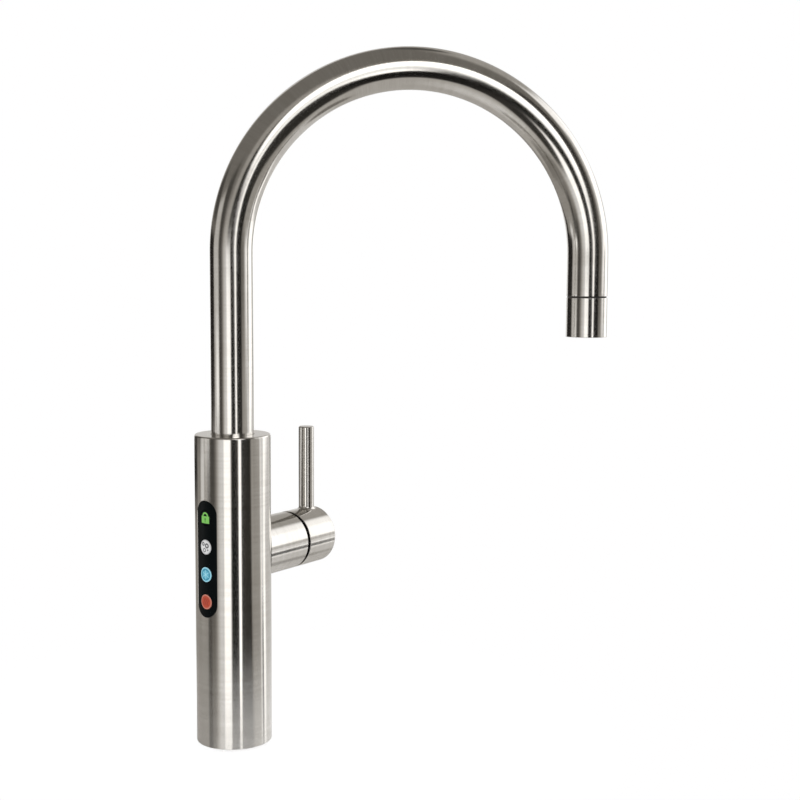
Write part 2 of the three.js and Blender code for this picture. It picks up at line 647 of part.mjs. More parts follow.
function addLever() {
  const filletCorners = Array.from({ length: FILLET_STEPS + 1 }, (_, i) => {
    const angle = (Math.PI / 2) * (i / FILLET_STEPS);
    return [
      barrelRadius - LEVER_CAP_FILLET * (1 - Math.cos(angle)),
      leverEnd - LEVER_CAP_FILLET * (1 - Math.sin(angle)),
    ];
  });
  const screwHole = uprightPin(SET_SCREW_DIAMETER / 2 + FIT, -barrelRadius - PAST, 0,
    setScrewStation);
  add(valve, 'lever_cap', cut(
    turned([[0, leverStart], [barrelRadius, leverStart], ...filletCorners, [0, leverEnd]],
      BARREL_SIDES),
    pin(carrierRadius + FIT, leverStart - PAST, leverPocketEnd),
    uprightPin(rodRadius + FIT, rodFoot - FIT, barrelRadius + PAST, rodStation),
    screwHole,
  ), steel);

  const rodProfile = [
    [0, rodFoot],
    [rodRadius, rodFoot],
    [rodRadius, ROD_TOP - ROD_CHAMFER],
    [rodRadius - ROD_CHAMFER, ROD_TOP],
    [0, ROD_TOP],
  ];
  add(valve, 'lever_rod', turned(rodProfile, SPOUT_SIDES).rotateX(-Math.PI / 2)
    .translate(0, 0, rodStation), steel);

  const spindle = turned([
    [0, spindleStart],
    [SPINDLE_FLANGE_DIAMETER / 2, spindleStart],
    [SPINDLE_FLANGE_DIAMETER / 2, spindleStart + SPINDLE_FLANGE_THICKNESS],
    [spindleRadius, spindleStart + SPINDLE_FLANGE_THICKNESS],
    [spindleRadius, spindleEnd],
    [0, spindleEnd],
  ]);
  add(valve, 'cartridge_spindle', spindle, brass);
  add(valve, 'lever_carrier', turned([
    [0, spindleEnd + FIT],
    [spindleRadius + FIT, spindleEnd + FIT],
    [spindleRadius + FIT, carrierStart],
    [carrierRadius, carrierStart],
    [carrierRadius, leverPocketEnd - FIT],
    [0, leverPocketEnd - FIT],
  ]), brass);

  const screwFoot = -barrelRadius + SET_SCREW_RECESS;
  add(valve, 'lever_set_screw', cut(
    uprightPin(SET_SCREW_DIAMETER / 2, screwFoot, -carrierRadius - FIT, setScrewStation),
    uprightPin(HEX_KEY_SIZE / Math.sqrt(3), screwFoot - PAST, screwFoot + HEX_SOCKET_DEPTH,
      setScrewStation, 6),
  ), steel);
}

function addPanel() {
  const outerBar = new THREE.CylinderGeometry(bodyRadius, bodyRadius, BODY_HEIGHT, BODY_SIDES);
  const innerBar = new THREE.CylinderGeometry(bodyBore, bodyBore, BODY_HEIGHT, BODY_SIDES);
  const keyNames = Object.keys(keyHeights);
  const atKey = (name, shape) => shape.translate(0, keyHeights[name], 0);

  const lens = common(pushed(slotOutline(PANEL_WIDTH, PANEL_LENGTH), 0, bodyRadius + PAST), outerBar);
  add(panel, 'touch_lens', cut(
    lens,
    innerBar,
    ...keyNames.map((name) => atKey(name, pin(keyRadius + FIT, 0, bodyRadius + PAST))),
  ), glossBlack);

  keyNames.forEach((name) => {
    const cap = common(atKey(name, pin(keyRadius, keyBack, bodyRadius + PAST)), outerBar);
    const flange = atKey(name, pin(keyFlangeRadius, keyBack, keyFlangeFront));
    add(panel, name, join(cap, flange), keyColors[name]);
  });

  const screwNames = Object.keys(screwHeights);
  const atScrews = (radius) => screwNames.map((name) =>
    pin(radius, 0, bodyRadius, THIN_SIDES).translate(0, screwHeights[name], 0));
  const plate = (halfWidth, halfLength, back, front) =>
    block([-halfWidth, -halfLength, back], [halfWidth, halfLength, front]);
  add(panel, 'keypad_membrane', cut(
    plate(boardHalfWidth, boardHalfLength, keypadBack, keypadFront),
    ...atScrews(SCREW_HEAD_DIAMETER / 2 + FIT),
  ), greyRubber);
  add(panel, 'control_board', cut(
    plate(boardHalfWidth, boardHalfLength, boardBack, boardFront),
    ...atScrews(SCREW_DIAMETER / 2 + FIT),
  ), boardGreen);
  const leadHole = uprightPin(leadRadius + FIT, -trayHalfLength - PAST, 0, leadDepth, THIN_SIDES);
  add(panel, 'board_tray', cut(
    plate(trayHalfWidth, trayHalfLength, trayBack, trayFront),
    plate(trayPocketHalfWidth, trayPocketHalfLength, trayFloorFront, trayFront + PAST),
    leadHole,
    ...atScrews(SCREW_DIAMETER / 2 + FIT),
  ), blackPlastic);
  screwNames.forEach((name) => {
    const headStart = boardFront + FIT;
    add(panel, name, turned([
      [0, trayBack],
      [SCREW_DIAMETER / 2, trayBack],
      [SCREW_DIAMETER / 2, headStart],
      [SCREW_HEAD_DIAMETER / 2, headStart],
      [SCREW_HEAD_DIAMETER / 2, headStart + SCREW_HEAD_THICKNESS],
      [0, headStart + SCREW_HEAD_THICKNESS],
    ], THIN_SIDES).translate(0, screwHeights[name], 0), steel);
  });

  const [x, y] = leadPlace();
  const leadTop = panelHeight - boardHalfLength - FIT;
  add(body, 'board_lead', moved(pin(leadRadius, lineFoot, leadTop, THIN_SIDES), x, y), blackPlastic);
  const grommetRadius = leadRadius + FIT + GROMMET_WALL;
  add(body, 'lead_grommet', moved(turned([
    [leadRadius + FIT, basePlateFoot],
    [grommetRadius, basePlateFoot],
    [grommetRadius, basePlateTop + FIT],
    [grommetRadius + GROMMET_FLANGE, basePlateTop + FIT],
    [grommetRadius + GROMMET_FLANGE, basePlateTop + FIT + GROMMET_FLANGE],
    [leadRadius + FIT, basePlateTop + FIT + GROMMET_FLANGE],
  ]), x, y), rubber);
}

function addSpout() {
  add(spout, 'spout_tube', spoutPipe(spoutRadius, spoutBore, spoutFoot, spoutEnd, SPOUT_SIDES,
    SMALL_SIDES), steel);
  add(spout, 'filtered_line', spoutPipe(filteredRadius, filteredBore, filteredFoot, lineEnd,
    THIN_SIDES, THIN_SIDES), whitePlastic);
  add(spout, 'boiling_line', spoutPipe(boilingRadius, boilingBore, filteredFoot, lineEnd,
    BOILING_LINE_SIDES, FINE_HOLE_SIDES), steel);

  const ringRadius = journalRadius - O_RING_THICKNESS;
  const lowerRing = (journalFoot + collarFoot) / 2 - (O_RING_SPACING + O_RING_THICKNESS) / 2;
  const upperRing = lowerRing + O_RING_SPACING;
  const groove = (low) => ring(journalRadius + PAST, ringRadius - FIT, low - FIT,
    low + O_RING_THICKNESS + FIT, SPOUT_SIDES);
  const journal = turned([
    [journalBore, journalFoot],
    [journalRadius, journalFoot],
    [journalRadius, collarFoot],
    [COLLAR_DIAMETER / 2, collarFoot],
    [COLLAR_DIAMETER / 2, collarTop],
    [journalRadius, collarTop],
    [journalRadius, spoutFoot + JOURNAL_PLUG_LENGTH],
    [journalBore, spoutFoot + JOURNAL_PLUG_LENGTH],
  ], SPOUT_SIDES);
  add(spout, 'spout_journal', cut(journal, groove(lowerRing), groove(upperRing)), brass);
  add(spout, 'journal_o_ring_lower', ring(journalRadius, ringRadius, lowerRing,
    lowerRing + O_RING_THICKNESS, SPOUT_SIDES), rubber);
  add(spout, 'journal_o_ring_upper', ring(journalRadius, ringRadius, upperRing,
    upperRing + O_RING_THICKNESS, SPOUT_SIDES), rubber);
  add(spout, 'line_spacer', ribbedRing(journalBore - FIT, filteredRadius + FIT, SPACER_WALL,
    collarFoot, collarTop), blackPlastic);
}

function addOutlet() {
  add(outlet, 'outlet_sleeve', turned([
    [spoutRadius - OUTLET_LIP_WIDTH, OUTLET_HEIGHT],
    [spoutRadius, OUTLET_HEIGHT],
    [spoutRadius, sleeveTop],
    [spoutBore, sleeveTop],
    [spoutBore, OUTLET_HEIGHT + OUTLET_LIP_DEPTH],
    [spoutRadius - OUTLET_LIP_WIDTH, OUTLET_HEIGHT + OUTLET_LIP_DEPTH],
  ], SPOUT_SIDES), steel);
  add(outlet, 'outlet_washer', ring(spoutRadius - FIT, spoutBore, sleeveTop + FIT,
    spoutEnd - FIT, SPOUT_SIDES), rubber);
  const innerRadius = spoutBore - FIT;
  add(outlet, 'outlet_adapter', ring(innerRadius, innerRadius - ADAPTER_WALL, adapterFoot,
    spoutEnd + ADAPTER_RISE, SPOUT_SIDES), brass);
  add(outlet, 'aerator_gasket', ring(innerRadius, innerRadius - ADAPTER_WALL, gasketFoot,
    gasketFoot + GASKET_THICKNESS, SPOUT_SIDES), rubber);
  add(outlet, 'aerator_body', ring(innerRadius, innerRadius - AERATOR_WALL, aeratorFoot,
    aeratorTop, SPOUT_SIDES), blackPlastic);

  const gridOuter = innerRadius - AERATOR_WALL - FIT;
  const gridInner = filteredRadius + FIT;
  const gridTop = aeratorFoot + FLOW_GRID_THICKNESS;
  const holes = Array.from({ length: FLOW_HOLE_COUNT }, (_, i) =>
    pin(FLOW_HOLE_DIAMETER / 2, aeratorFoot - PAST, gridTop + PAST, FINE_HOLE_SIDES)
      .translate((gridInner + gridOuter) / 2, 0, 0)
      .rotateZ((2 * Math.PI * i) / FLOW_HOLE_COUNT));
  add(outlet, 'flow_grid', cut(
    ring(gridOuter, gridInner, aeratorFoot, gridTop, SPOUT_SIDES),
    ...holes,
  ), blackPlastic);
  add(outlet, 'boiling_jet_guide', ribbedRing(filteredBore - FIT, boilingRadius + FIT, JET_GUIDE_WALL,
    aeratorFoot + FIT, gridTop), blackPlastic);
}

addBody();
addSupplyLines();
addValveBlock();
addSwivelSeat();
addValve();
addLever();
addPanel();
addSpout();
addOutlet();

export default tap;
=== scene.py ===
import json
import math

import bmesh
import bpy
from mathutils import Matrix, Vector


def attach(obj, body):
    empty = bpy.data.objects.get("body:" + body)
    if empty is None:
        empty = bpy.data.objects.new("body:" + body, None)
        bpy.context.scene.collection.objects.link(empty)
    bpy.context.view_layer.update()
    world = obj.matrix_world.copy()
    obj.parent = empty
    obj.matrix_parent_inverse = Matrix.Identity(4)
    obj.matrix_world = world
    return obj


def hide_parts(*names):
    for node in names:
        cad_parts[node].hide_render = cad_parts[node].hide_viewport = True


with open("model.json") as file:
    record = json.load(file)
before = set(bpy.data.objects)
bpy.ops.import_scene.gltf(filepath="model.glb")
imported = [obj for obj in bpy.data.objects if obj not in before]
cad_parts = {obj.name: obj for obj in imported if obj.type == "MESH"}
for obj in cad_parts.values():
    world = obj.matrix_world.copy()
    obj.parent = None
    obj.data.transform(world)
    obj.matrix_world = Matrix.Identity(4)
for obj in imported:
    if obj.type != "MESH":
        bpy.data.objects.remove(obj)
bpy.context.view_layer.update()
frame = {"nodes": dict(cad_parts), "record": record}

# Metres, +Z up. The origin is the centre of the tap's foot, and the spout at rest reaches
# along +X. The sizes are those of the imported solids.

MM = 0.001
FIT = 0.3 * MM  # gap between pieces that touch or slide
MERGE_DISTANCE = 1e-7
ON_WALL = 0.01 * MM  # how near a face lies to the round wall that it is part of
SMOOTH_ANGLE = math.radians(32)
UP = Vector((0, 0, 1))

BODY_RADIUS = 25 * MM
BODY_BORE = 22.8 * MM
BODY_HEIGHT = 206 * MM
BODY_TOP_THICKNESS = 5 * MM
BODY_SIDES = 256
RIM_ROUNDING = 1.1 * MM
FOOT_ROUNDING = 0.25 * MM
BORE_ROUNDING = 0.15 * MM
TOP_HOLE_ROUNDING = 0.3 * MM

SPOUT_RADIUS = 14 * MM
SPOUT_WALL = 1.5 * MM
SPOUT_BORE = SPOUT_RADIUS - SPOUT_WALL
SPOUT_FOOT = 185.1 * MM
ARCH_RADIUS = 122 * MM
LEG_TOP = 324.5 * MM
SPOUT_END = 296.5 * MM
PIPE_EDGE = 0.25 * MM
PIPE_EDGE_ANGLE = math.radians(60)
FILTERED_RADIUS = 5.5 * MM
FILTERED_WALL = 1.2 * MM
BOILING_RADIUS = 2.8 * MM
BOILING_WALL = 0.8 * MM
LINE_FOOT = 119.7 * MM
LINE_END = 270.5 * MM

OUTLET_X = 2 * ARCH_RADIUS
OUTLET_FOOT = 268.5 * MM
OUTLET_SIDES = 96
OUTLET_EDGE = 0.25 * MM
OUTLET_LIP_WIDTH = 2.8 * MM
OUTLET_LIP_DEPTH = 2 * MM
SLEEVE_TOP = 295.5 * MM
WASHER_GAP = 0.05 * MM  # the ring fills its groove, so that the brass behind it doesn't show
WASHER_RADIUS = SPOUT_RADIUS - 0.6 * MM
WASHER_EDGE = 0.1 * MM
AERATOR_FOOT = 270.8 * MM
AERATOR_TOP = 279.4 * MM
AERATOR_RADIUS = SPOUT_BORE - FIT
AERATOR_BORE = AERATOR_RADIUS - 1.8 * MM
AERATOR_EDGE = 0.3 * MM
FLOW_GRID_THICKNESS = 2.5 * MM
FLOW_HOLE_RADIUS = 1 * MM
FLOW_HOLE_COUNT = 12

LEVER_AZIMUTH = math.radians(43.7)
BARREL_HEIGHT = 125.7 * MM
BARREL_RADIUS = 19.7 * MM
BARREL_BORE = 16.5 * MM
BARREL_END = 55.6 * MM
BARREL_EDGE = 0.3 * MM
BARREL_SIDES = 128
CARTRIDGE_HOLE_RADIUS = 14.2 * MM
CARTRIDGE_HOLE_SIDES = 96
SEAM_RADIUS = 18.3 * MM
SEAM_BORE = 12.9 * MM
SEAM_SPIGOT_START = 51.4 * MM
SEAM_EDGE = 0.15 * MM
SEAM_MARGIN = 0.25 * MM  # gap between the ring and the steel on both sides of it
CAP_START = 57.9 * MM
CAP_END = 86.7 * MM
CAP_FILLET = 1.2 * MM
CAP_SIDES = 160
CAP_POCKET_RADIUS = 12 * MM
CAP_POCKET_END = 70.3 * MM
CAP_POCKET_EDGE = 0.2 * MM
ROD_RADIUS = 5.4 * MM
ROD_STATION = 78 * MM
ROD_FOOT = 8.2 * MM
ROD_TOP = 77.9 * MM
ROD_FOOT_EDGE = 0.2 * MM
ROD_CHAMFER = 0.6 * MM
ROD_CHAMFER_EDGE = 0.15 * MM
ROD_SIDES = 96
ROD_RIM = 0.3 * MM  # rounded edge of the rod's hole
FLARE = 1.7 * MM  # hollow fillet at the rod's foot, over the hole's edge
FLARE_BORE = ROD_RADIUS - 0.02 * MM  # within the rod, so that the two join
FLARE_LIFT = 0.03 * MM
FLARE_DEPTH = 0.1 * MM
SET_SCREW_HOLE_RADIUS = 2.8 * MM
SET_SCREW_HOLE_SIDES = 48
SET_SCREW_STATION = 64 * MM

PANEL_AZIMUTH = math.radians(219)
PANEL_HEIGHT = 125.85 * MM
PANEL_WIDTH = 17.5 * MM
PANEL_LENGTH = 76.7 * MM
SLOT_STEPS = 32  # along each round end
SLOT_EDGE = 0.1 * MM  # broken edge of the opening, somewhat wider than deep
SLOT_EDGE_SPREAD = SLOT_EDGE * 1.6
SLOT_EDGE_RISE = SLOT_EDGE * 0.6
LENS_SPREAD = 0.2 * MM
LENS_RECESS = 0.04 * MM  # how far the lens stands back from the steel
KEY_RECESS = 0.05 * MM
KEY_EDGE = 0.22 * MM
KEY_SIDES = 64
KEY_RADIUS = 4.9 * MM
KEY_FLANGE_RADIUS = 6.1 * MM
KEY_FLANGE_FRONT = 21.67 * MM
KEY_BACK = 20.87 * MM
KEY_FACE_RINGS = (0.85, 0.65, 0.45, 0.25, 0.08)  # shares of the key's radius
KEY_HEIGHTS = {"boiling": 97.6 * MM, "chilled": 115.7 * MM,
               "sparkling": 133.9 * MM, "lock": 153.1 * MM}
KEY_SLOTS = {"boiling": "key_red", "chilled": "key_blue",
             "sparkling": "key_white", "lock": "gloss_black"}

# How far each cutter runs past what it cuts
SLOT_PAST = 5 * MM
LENS_PAST = 2 * MM
KEY_HOLE_PAST = 3 * MM
CARTRIDGE_HOLE_PAST = 1 * MM
ROD_HOLE_PAST = 5 * MM
SET_SCREW_HOLE_PAST = 1 * MM


# ---------------------------------------------------------------- node trees as expressions

class Link:
    """One output of a node. The usual operators add Math nodes behind it."""

    def __init__(self, tree, socket):
        self.tree = tree
        self.socket = socket

    def math(self, operation, *others):
        return self.tree.math(operation, self, *others)

    def __add__(self, other): return self.math("ADD", other)
    def __radd__(self, other): return self.tree.math("ADD", other, self)
    def __sub__(self, other): return self.math("SUBTRACT", other)
    def __rsub__(self, other): return self.tree.math("SUBTRACT", other, self)
    def __mul__(self, other): return self.math("MULTIPLY", other)
    def __rmul__(self, other): return self.tree.math("MULTIPLY", other, self)
    def __truediv__(self, other): return self.math("DIVIDE", other)
    def __rtruediv__(self, other): return self.tree.math("DIVIDE", other, self)
    def __pow__(self, other): return self.math("POWER", other)
    def __neg__(self): return self.math("MULTIPLY", -1)
    def __abs__(self): return self.math("ABSOLUTE")
    def lower(self, other): return self.math("MINIMUM", other)
    def higher(self, other): return self.math("MAXIMUM", other)
    def over(self, edge, soft): return self.tree.step(self, edge, soft)
    def under(self, edge, soft): return self.tree.step(self, edge, -soft)


class Tree:
    """A node tree that is wired by expressions."""

    def __init__(self, tree):
        self.tree = tree

    def add(self, kind, inputs=(), output=0, **settings):
        """A node of a kind, its settings first and then its sockets; gives one of its outputs."""
        node = self.tree.nodes.new(kind)
        for name, value in settings.items():
            setattr(node, name, value)
        for name, value in dict(inputs).items():
            if isinstance(value, Link):
                self.tree.links.new(value.socket, node.inputs[name])
            else:
                node.inputs[name].default_value = value
        return Link(self, node.outputs[output]) if node.outputs else None

    def math(self, operation, *values):
        return self.add("ShaderNodeMath", enumerate(values), operation=operation)

    def vector_math(self, operation, first, second, output="Vector"):
        return self.add("ShaderNodeVectorMath", {0: first, 1: second}, output,
                        operation=operation)

    def step(self, value, edge, soft):
        """0 to 1 across an edge, softly; a negative softness goes from 1 to 0."""
        low, high = edge - soft / 2, edge + soft / 2
        return self.add("ShaderNodeMapRange",
                        {"Value": value, "From Min": low, "From Max": high},
                        interpolation_type="SMOOTHSTEP")

    def mix(self, share, first, second):
        """A colour between two colours."""
        def color(value):
            return value if isinstance(value, Link) else (*value, 1)
        return self.add("ShaderNodeMix", {0: share, 6: color(first), 7: color(second)}, 2,
                        data_type="RGBA")

    def object_point(self):
        return self.add("ShaderNodeTexCoord", output="Object")

    def xyz(self, vector):
        """The three numbers of a vector."""
        split = self.add("ShaderNodeSeparateXYZ", {0: vector})
        return [Link(self, output) for output in split.socket.node.outputs]

    def vector(self, **numbers):
        """A vector of numbers named X, Y and Z; what isn't named is 0."""
        return self.add("ShaderNodeCombineXYZ", numbers)

    def dot(self, vector, direction):
        return self.vector_math("DOT_PRODUCT", vector, direction, "Value")

    def stretched(self, vector, scale, turn=(0, 0, 0)):
        """Coordinates turned and then scaled along each axis."""
        angled = self.add("ShaderNodeMapping", {"Vector": vector, "Rotation": turn},
                          vector_type="POINT")
        return self.vector_math("MULTIPLY", angled, scale)

    def noise(self, vector, scale=1, detail=2, roughness=0.5, distortion=0):
        return self.add("ShaderNodeTexNoise", {
            "Vector": vector, "Scale": scale, "Detail": detail, "Roughness": roughness,
            "Distortion": distortion})

    def bump(self, height, distance, strength=1):
        return self.add("ShaderNodeBump", {
            "Height": height, "Distance": distance, "Strength": strength})

    def blend(self, share, first, second):
        """A shader between two shaders."""
        return self.add("ShaderNodeMixShader", {0: share, 1: first, 2: second})

    def surface(self, **sockets):
        """A Principled shader, its sockets named with underscores for spaces."""
        return self.add("ShaderNodeBsdfPrincipled",
                        {name.replace("_", " "): value for name, value in sockets.items()})

    def finish(self, **sockets):
        """Ends a material in one Principled shader."""
        self.add("ShaderNodeOutputMaterial", {"Surface": self.surface(**sockets)})


def new_material(name):
    material = bpy.data.materials.new(name)
    material.use_nodes = True
    material.node_tree.nodes.clear()
    return material, Tree(material.node_tree)


def length_of(x, y):
    return (x ** 2 + y ** 2) ** 0.5


# ---------------------------------------------------------------- finishes

STEEL_LIGHT = (0.70, 0.685, 0.655)
STEEL_DARK = (0.62, 0.60, 0.565)
SATIN = 0.1  # the least roughness of the brushed steel


def brushed_steel(name, coordinates, axis, turn=(0, 0, 0), stretch=22, relief=0.002, **constants):
    """Satin stainless steel with fine lines that run round the piece. The lines are packed along
    one axis of the coordinates and stretched along the other two. The coordinates are "object"
    or the name of the mesh's own attribute, and the relief is in millimetres."""
    material, tree = new_material(name)
    if coordinates == "object":
        point = tree.object_point()
    else:
        point = tree.add("ShaderNodeAttribute", output="Vector", attribute_name=coordinates)

    def lines(per_metre, detail):
        scale = tuple(per_metre if i == axis else stretch for i in range(3))
        return tree.noise(tree.stretched(point, scale, turn), 1, detail, 0.6)

    hairlines = lines(4200, 3)
    scratches = lines(900, 2)
    bands = lines(120, 2)
    smudges = tree.noise(tree.stretched(point, (1, 1, 1), turn), 38, 2, 0.5, 0.4)
    tone = (scratches * 0.55 + bands * 0.45).over(0.5, 0.5)
    tree.finish(Base_Color=tree.mix(tone, STEEL_DARK, STEEL_LIGHT), Metallic=1.0,
                Roughness=SATIN + 0.05 * scratches + 0.03 * smudges,
                Normal=tree.bump(hairlines * 0.7 + scratches * 0.3, relief * MM), **constants)
    return material


def drawn_steel():
    material, tree = new_material("drawn_steel")
    point = tree.object_point()
    draw_marks = tree.noise(tree.stretched(point, (900, 900, 30)), 1, 3, 0.6)
    clouding = tree.noise(point, 120, 2)
    color = tree.mix(clouding.over(0.5, 0.6), (0.52, 0.52, 0.52), (0.64, 0.64, 0.63))
    tree.finish(Base_Color=color, Metallic=1.0, Roughness=0.24 + 0.16 * draw_marks,
                Normal=tree.bump(draw_marks, 0.02 * MM, 0.5))
    return material


def turned_brass():
    material, tree = new_material("turned_brass")
    point = tree.object_point()
    tool_marks = tree.noise(tree.stretched(point, (60, 60, 3000)), 1, 2)
    tarnish = tree.noise(point, 90, 4, 0.6, 0.5)
    color = tree.mix(tarnish.over(0.55, 0.4), (0.74, 0.58, 0.30), (0.56, 0.39, 0.17))
    tree.finish(Base_Color=color, Metallic=1.0, Roughness=0.26 + 0.2 * tarnish,
                Normal=tree.bump(tool_marks, 0.02 * MM, 0.5))
    return material


def soft_rubber(name, dark, light):
    material, tree = new_material(name)
    point = tree.object_point()
    bloom = tree.noise(point, 400, 3)
    grain = tree.noise(point, 5000, 2)
    tree.finish(Base_Color=tree.mix(bloom.over(0.5, 0.5), dark, light),
                Roughness=0.62 + 0.2 * bloom, Normal=tree.bump(grain, 0.03 * MM, 0.5))
    return material


def moulded_plastic(name, dark, light, roughness, **constants):
    """Moulded plastic with a fine spark-eroded grain."""
    material, tree = new_material(name)
    point = tree.object_point()
    flow = tree.noise(point, 60, 2, 0.5, 0.6)
    grain = tree.noise(point, 3500, 3)
    tree.finish(Base_Color=tree.mix(flow, dark, light), Roughness=roughness + 0.12 * grain,
                Normal=tree.bump(grain, 0.015 * MM, 0.6), **constants)
    return material


def lapped_ceramic():
    material, tree = new_material("lapped_ceramic")
    point = tree.object_point()
    clouding = tree.noise(point, 700, 4)
    lapping = tree.noise(tree.stretched(point, (2500, 200, 2500)), 1, 2)
    tree.finish(Base_Color=tree.mix(clouding, (0.80, 0.77, 0.70), (0.90, 0.88, 0.83)),
                Roughness=0.2 + 0.15 * lapping, Normal=tree.bump(lapping, 0.004 * MM, 0.5))
    return material


def solder_mask():
    """A green board with paler copper tracks under the mask."""
    material, tree = new_material("solder_mask")
    cells = tree.add("ShaderNodeTexVoronoi",
                     {"Vector": tree.object_point(), "Scale": 420, "Randomness": 0.45},
                     distance="MANHATTAN", feature="F2")
    track = abs((cells * 4).math("FRACT") - 0.5).under(0.14, 0.06)
    tree.finish(Base_Color=tree.mix(track, (0.010, 0.085, 0.030), (0.035, 0.20, 0.075)),
                Roughness=0.34 - 0.1 * track, Normal=tree.bump(track, 0.03 * MM, 0.5))
    return material


class KeyFace:
    """The face of a key, with marks to print on it in millimetres across and up from its
    centre."""

    def __init__(self, tree, key):
        point = tree.object_point()
        across_panel = Vector((-math.sin(PANEL_AZIMUTH), math.cos(PANEL_AZIMUTH), 0))
        self.across = tree.dot(point, across_panel) / MM
        self.up = (tree.xyz(point)[2] - KEY_HEIGHTS[key]) / MM

    def reach(self, x=0, y=0):
        return length_of(self.across - x, self.up - y)

    def disc(self, x, y, radius, soft=0.3):
        return self.reach(x, y).under(radius, soft)

    def ring(self, x, y, radius, width, soft=0.25):
        return abs(self.reach(x, y) - radius).under(width / 2, soft)

    def bar(self, x, y, half_width, half_height, soft=0.25):
        return (abs(self.across - x).under(half_width, soft)
                * abs(self.up - y).under(half_height, soft))


def glazed(name, colored):
    """A printed colour under a clear gloss face."""
    material, tree = new_material(name)
    color = colored(tree)
    waviness = tree.noise(tree.object_point(), 160, 1)
    tree.finish(Base_Color=color, Roughness=0.16 + 0.06 * waviness, Specular_IOR_Level=0.05,
                Normal=tree.bump(waviness, 0.01 * MM, 0.3))
    return material


def black_glaze(tree):
    depth = tree.noise(tree.object_point(), 90, 2)
    return tree.mix(depth, (0.002, 0.003, 0.0033), (0.0035, 0.005, 0.0055))


def padlock_print(tree):
    """A green padlock on black: a case with a keyhole under a shackle."""
    face = KeyFace(tree, "lock")
    case = face.bar(0, -1.15, 3.5, 2.35)
    shackle = face.ring(0, 1.1, 2.15, 1.1) * face.up.over(0.9, 0.2)
    keyhole = face.disc(0, -0.75, 0.75).higher(face.bar(0, -1.9, 0.35, 1.0))
    green = tree.mix(tree.noise(tree.object_point(), 500, 2),
                     (0.16, 0.44, 0.09), (0.22, 0.52, 0.13))
    drawn = tree.mix(keyhole, green, (0.07, 0.22, 0.045))
    return tree.mix(case.higher(shackle), black_glaze(tree), drawn)


def bubble_print(tree):
    """Rising bubbles in grey on a white disc, greyer towards its edge as painted shade."""
    face = KeyFace(tree, "sparkling")
    bubbles = face.disc(2.1, -1.8, 0.6)
    for bubble in ((-2.0, 1.9, 0.9, 0.8), (1.3, 1.0, 1.2, 1.05), (-0.9, -2.1, 1.1, 0.6)):
        bubbles = bubbles.higher(face.ring(*bubble))
    # painted shade: the white disc turns grey towards its edge, the way a raised disc is shaded
    ground = tree.mix(face.disc(0, 0, 4.3, 1.2), (0.42, 0.42, 0.42), (0.66, 0.66, 0.66))
    return tree.mix(bubbles * 0.9, ground, (0.07, 0.07, 0.075))


def frost_print(tree):
    """A pale six-armed star in a pale rim on a blue disc."""
    face = KeyFace(tree, "chilled")
    reach = face.reach()
    turn = face.up.math("ARCTAN2", face.across)
    star = abs((turn * 3).math("COSINE") * reach).under(0.62, 0.4) * reach.under(3.2, 0.4)
    ring = abs(reach - 3.3).under(0.5, 0.5)
    ground = tree.mix(ring, (0.13, 0.42, 0.55), (0.055, 0.24, 0.35))
    return tree.mix(star.higher(reach.over(4.1, 0.6)) * 0.85, ground, (0.36, 0.66, 0.76))


def steam_print(tree):
    """Three rising wisps, a shade darker, on a red disc with a paler rim."""
    face = KeyFace(tree, "boiling")
    sway = (face.up * 1.6).math("SINE") * 0.45
    left, middle, right = (abs(face.across - x - sway).under(0.32, 0.3) for x in (-1.7, 0, 1.7))
    wisps = left.higher(middle).higher(right) * abs(face.up).under(2.3, 0.4)
    ground = tree.mix(face.reach().over(4.0, 0.7), (0.42, 0.070, 0.040), (0.50, 0.20, 0.15))
    return tree.mix(wisps * 0.6, ground, (0.16, 0.035, 0.03))


UPRIGHT_BRUSHING = brushed_steel("brushed_steel", "object", 2, relief=0.001)
BODY_BRUSHING = brushed_steel("brushed_steel_body", "object", 2, relief=0.005,
                              Anisotropic=0.7, Anisotropic_Rotation=0.25)
BARREL_BRUSHING = brushed_steel("brushed_steel_barrel", "object", 0, (0, 0, -LEVER_AZIMUTH))
SPOUT_BRUSHING = brushed_steel("brushed_steel_spout", "brushing", 0, stretch=30, relief=0.0014)
LOCK_PRINT = glazed("lock_print", padlock_print)
# The seam ring's own black, made darker than the black plastic as painted shade in the gap
# between the barrel and the cap
SEAM_BLACK_AND_SHADE = moulded_plastic("seam_black", (0.003, 0.003, 0.003), (0.007, 0.0065, 0.006), 0.6,
                             Specular_IOR_Level=0.12)
FINISHES = {
    "brushed_steel": UPRIGHT_BRUSHING,
    "steel_pipe": drawn_steel(),
    "brass": turned_brass(),
    "rubber": soft_rubber("seal_rubber", (0.012, 0.012, 0.012), (0.035, 0.034, 0.033)),
    "grey_rubber": soft_rubber("grey_silicone", (0.24, 0.25, 0.25), (0.36, 0.37, 0.37)),
    "black_plastic": moulded_plastic("black_plastic", (0.016, 0.017, 0.018),
                                     (0.030, 0.031, 0.033), 0.38),
    "white_plastic": moulded_plastic("white_plastic", (0.70, 0.70, 0.66),
                                     (0.80, 0.80, 0.77), 0.34),
    "gloss_black": glazed("gloss_black", black_glaze),
    "key_white": glazed("key_white", bubble_print),
    "key_blue": glazed("key_blue", frost_print),
    "key_red": glazed("key_red", steam_print),
    "ceramic": lapped_ceramic(),
    "circuit_board": solder_mask(),
}


# ---------------------------------------------------------------- shape helpers

def arc_corner(before, corner, after, radius, steps):
    """Points that round one corner of an outline."""
    before, corner, after = Vector(before), Vector(corner), Vector(after)
    to_before = (before - corner).normalized()
    to_after = (after - corner).normalized()
    half = to_before.angle(to_after) / 2
    centre = corner + (to_before + to_after).normalized() * (radius / math.sin(half))
    start = corner + to_before * (radius / math.tan(half)) - centre
    end = corner + to_after * (radius / math.tan(half)) - centre
    return [tuple(centre + start.lerp(end, i / steps).normalized() * radius)
            for i in range(steps + 1)]


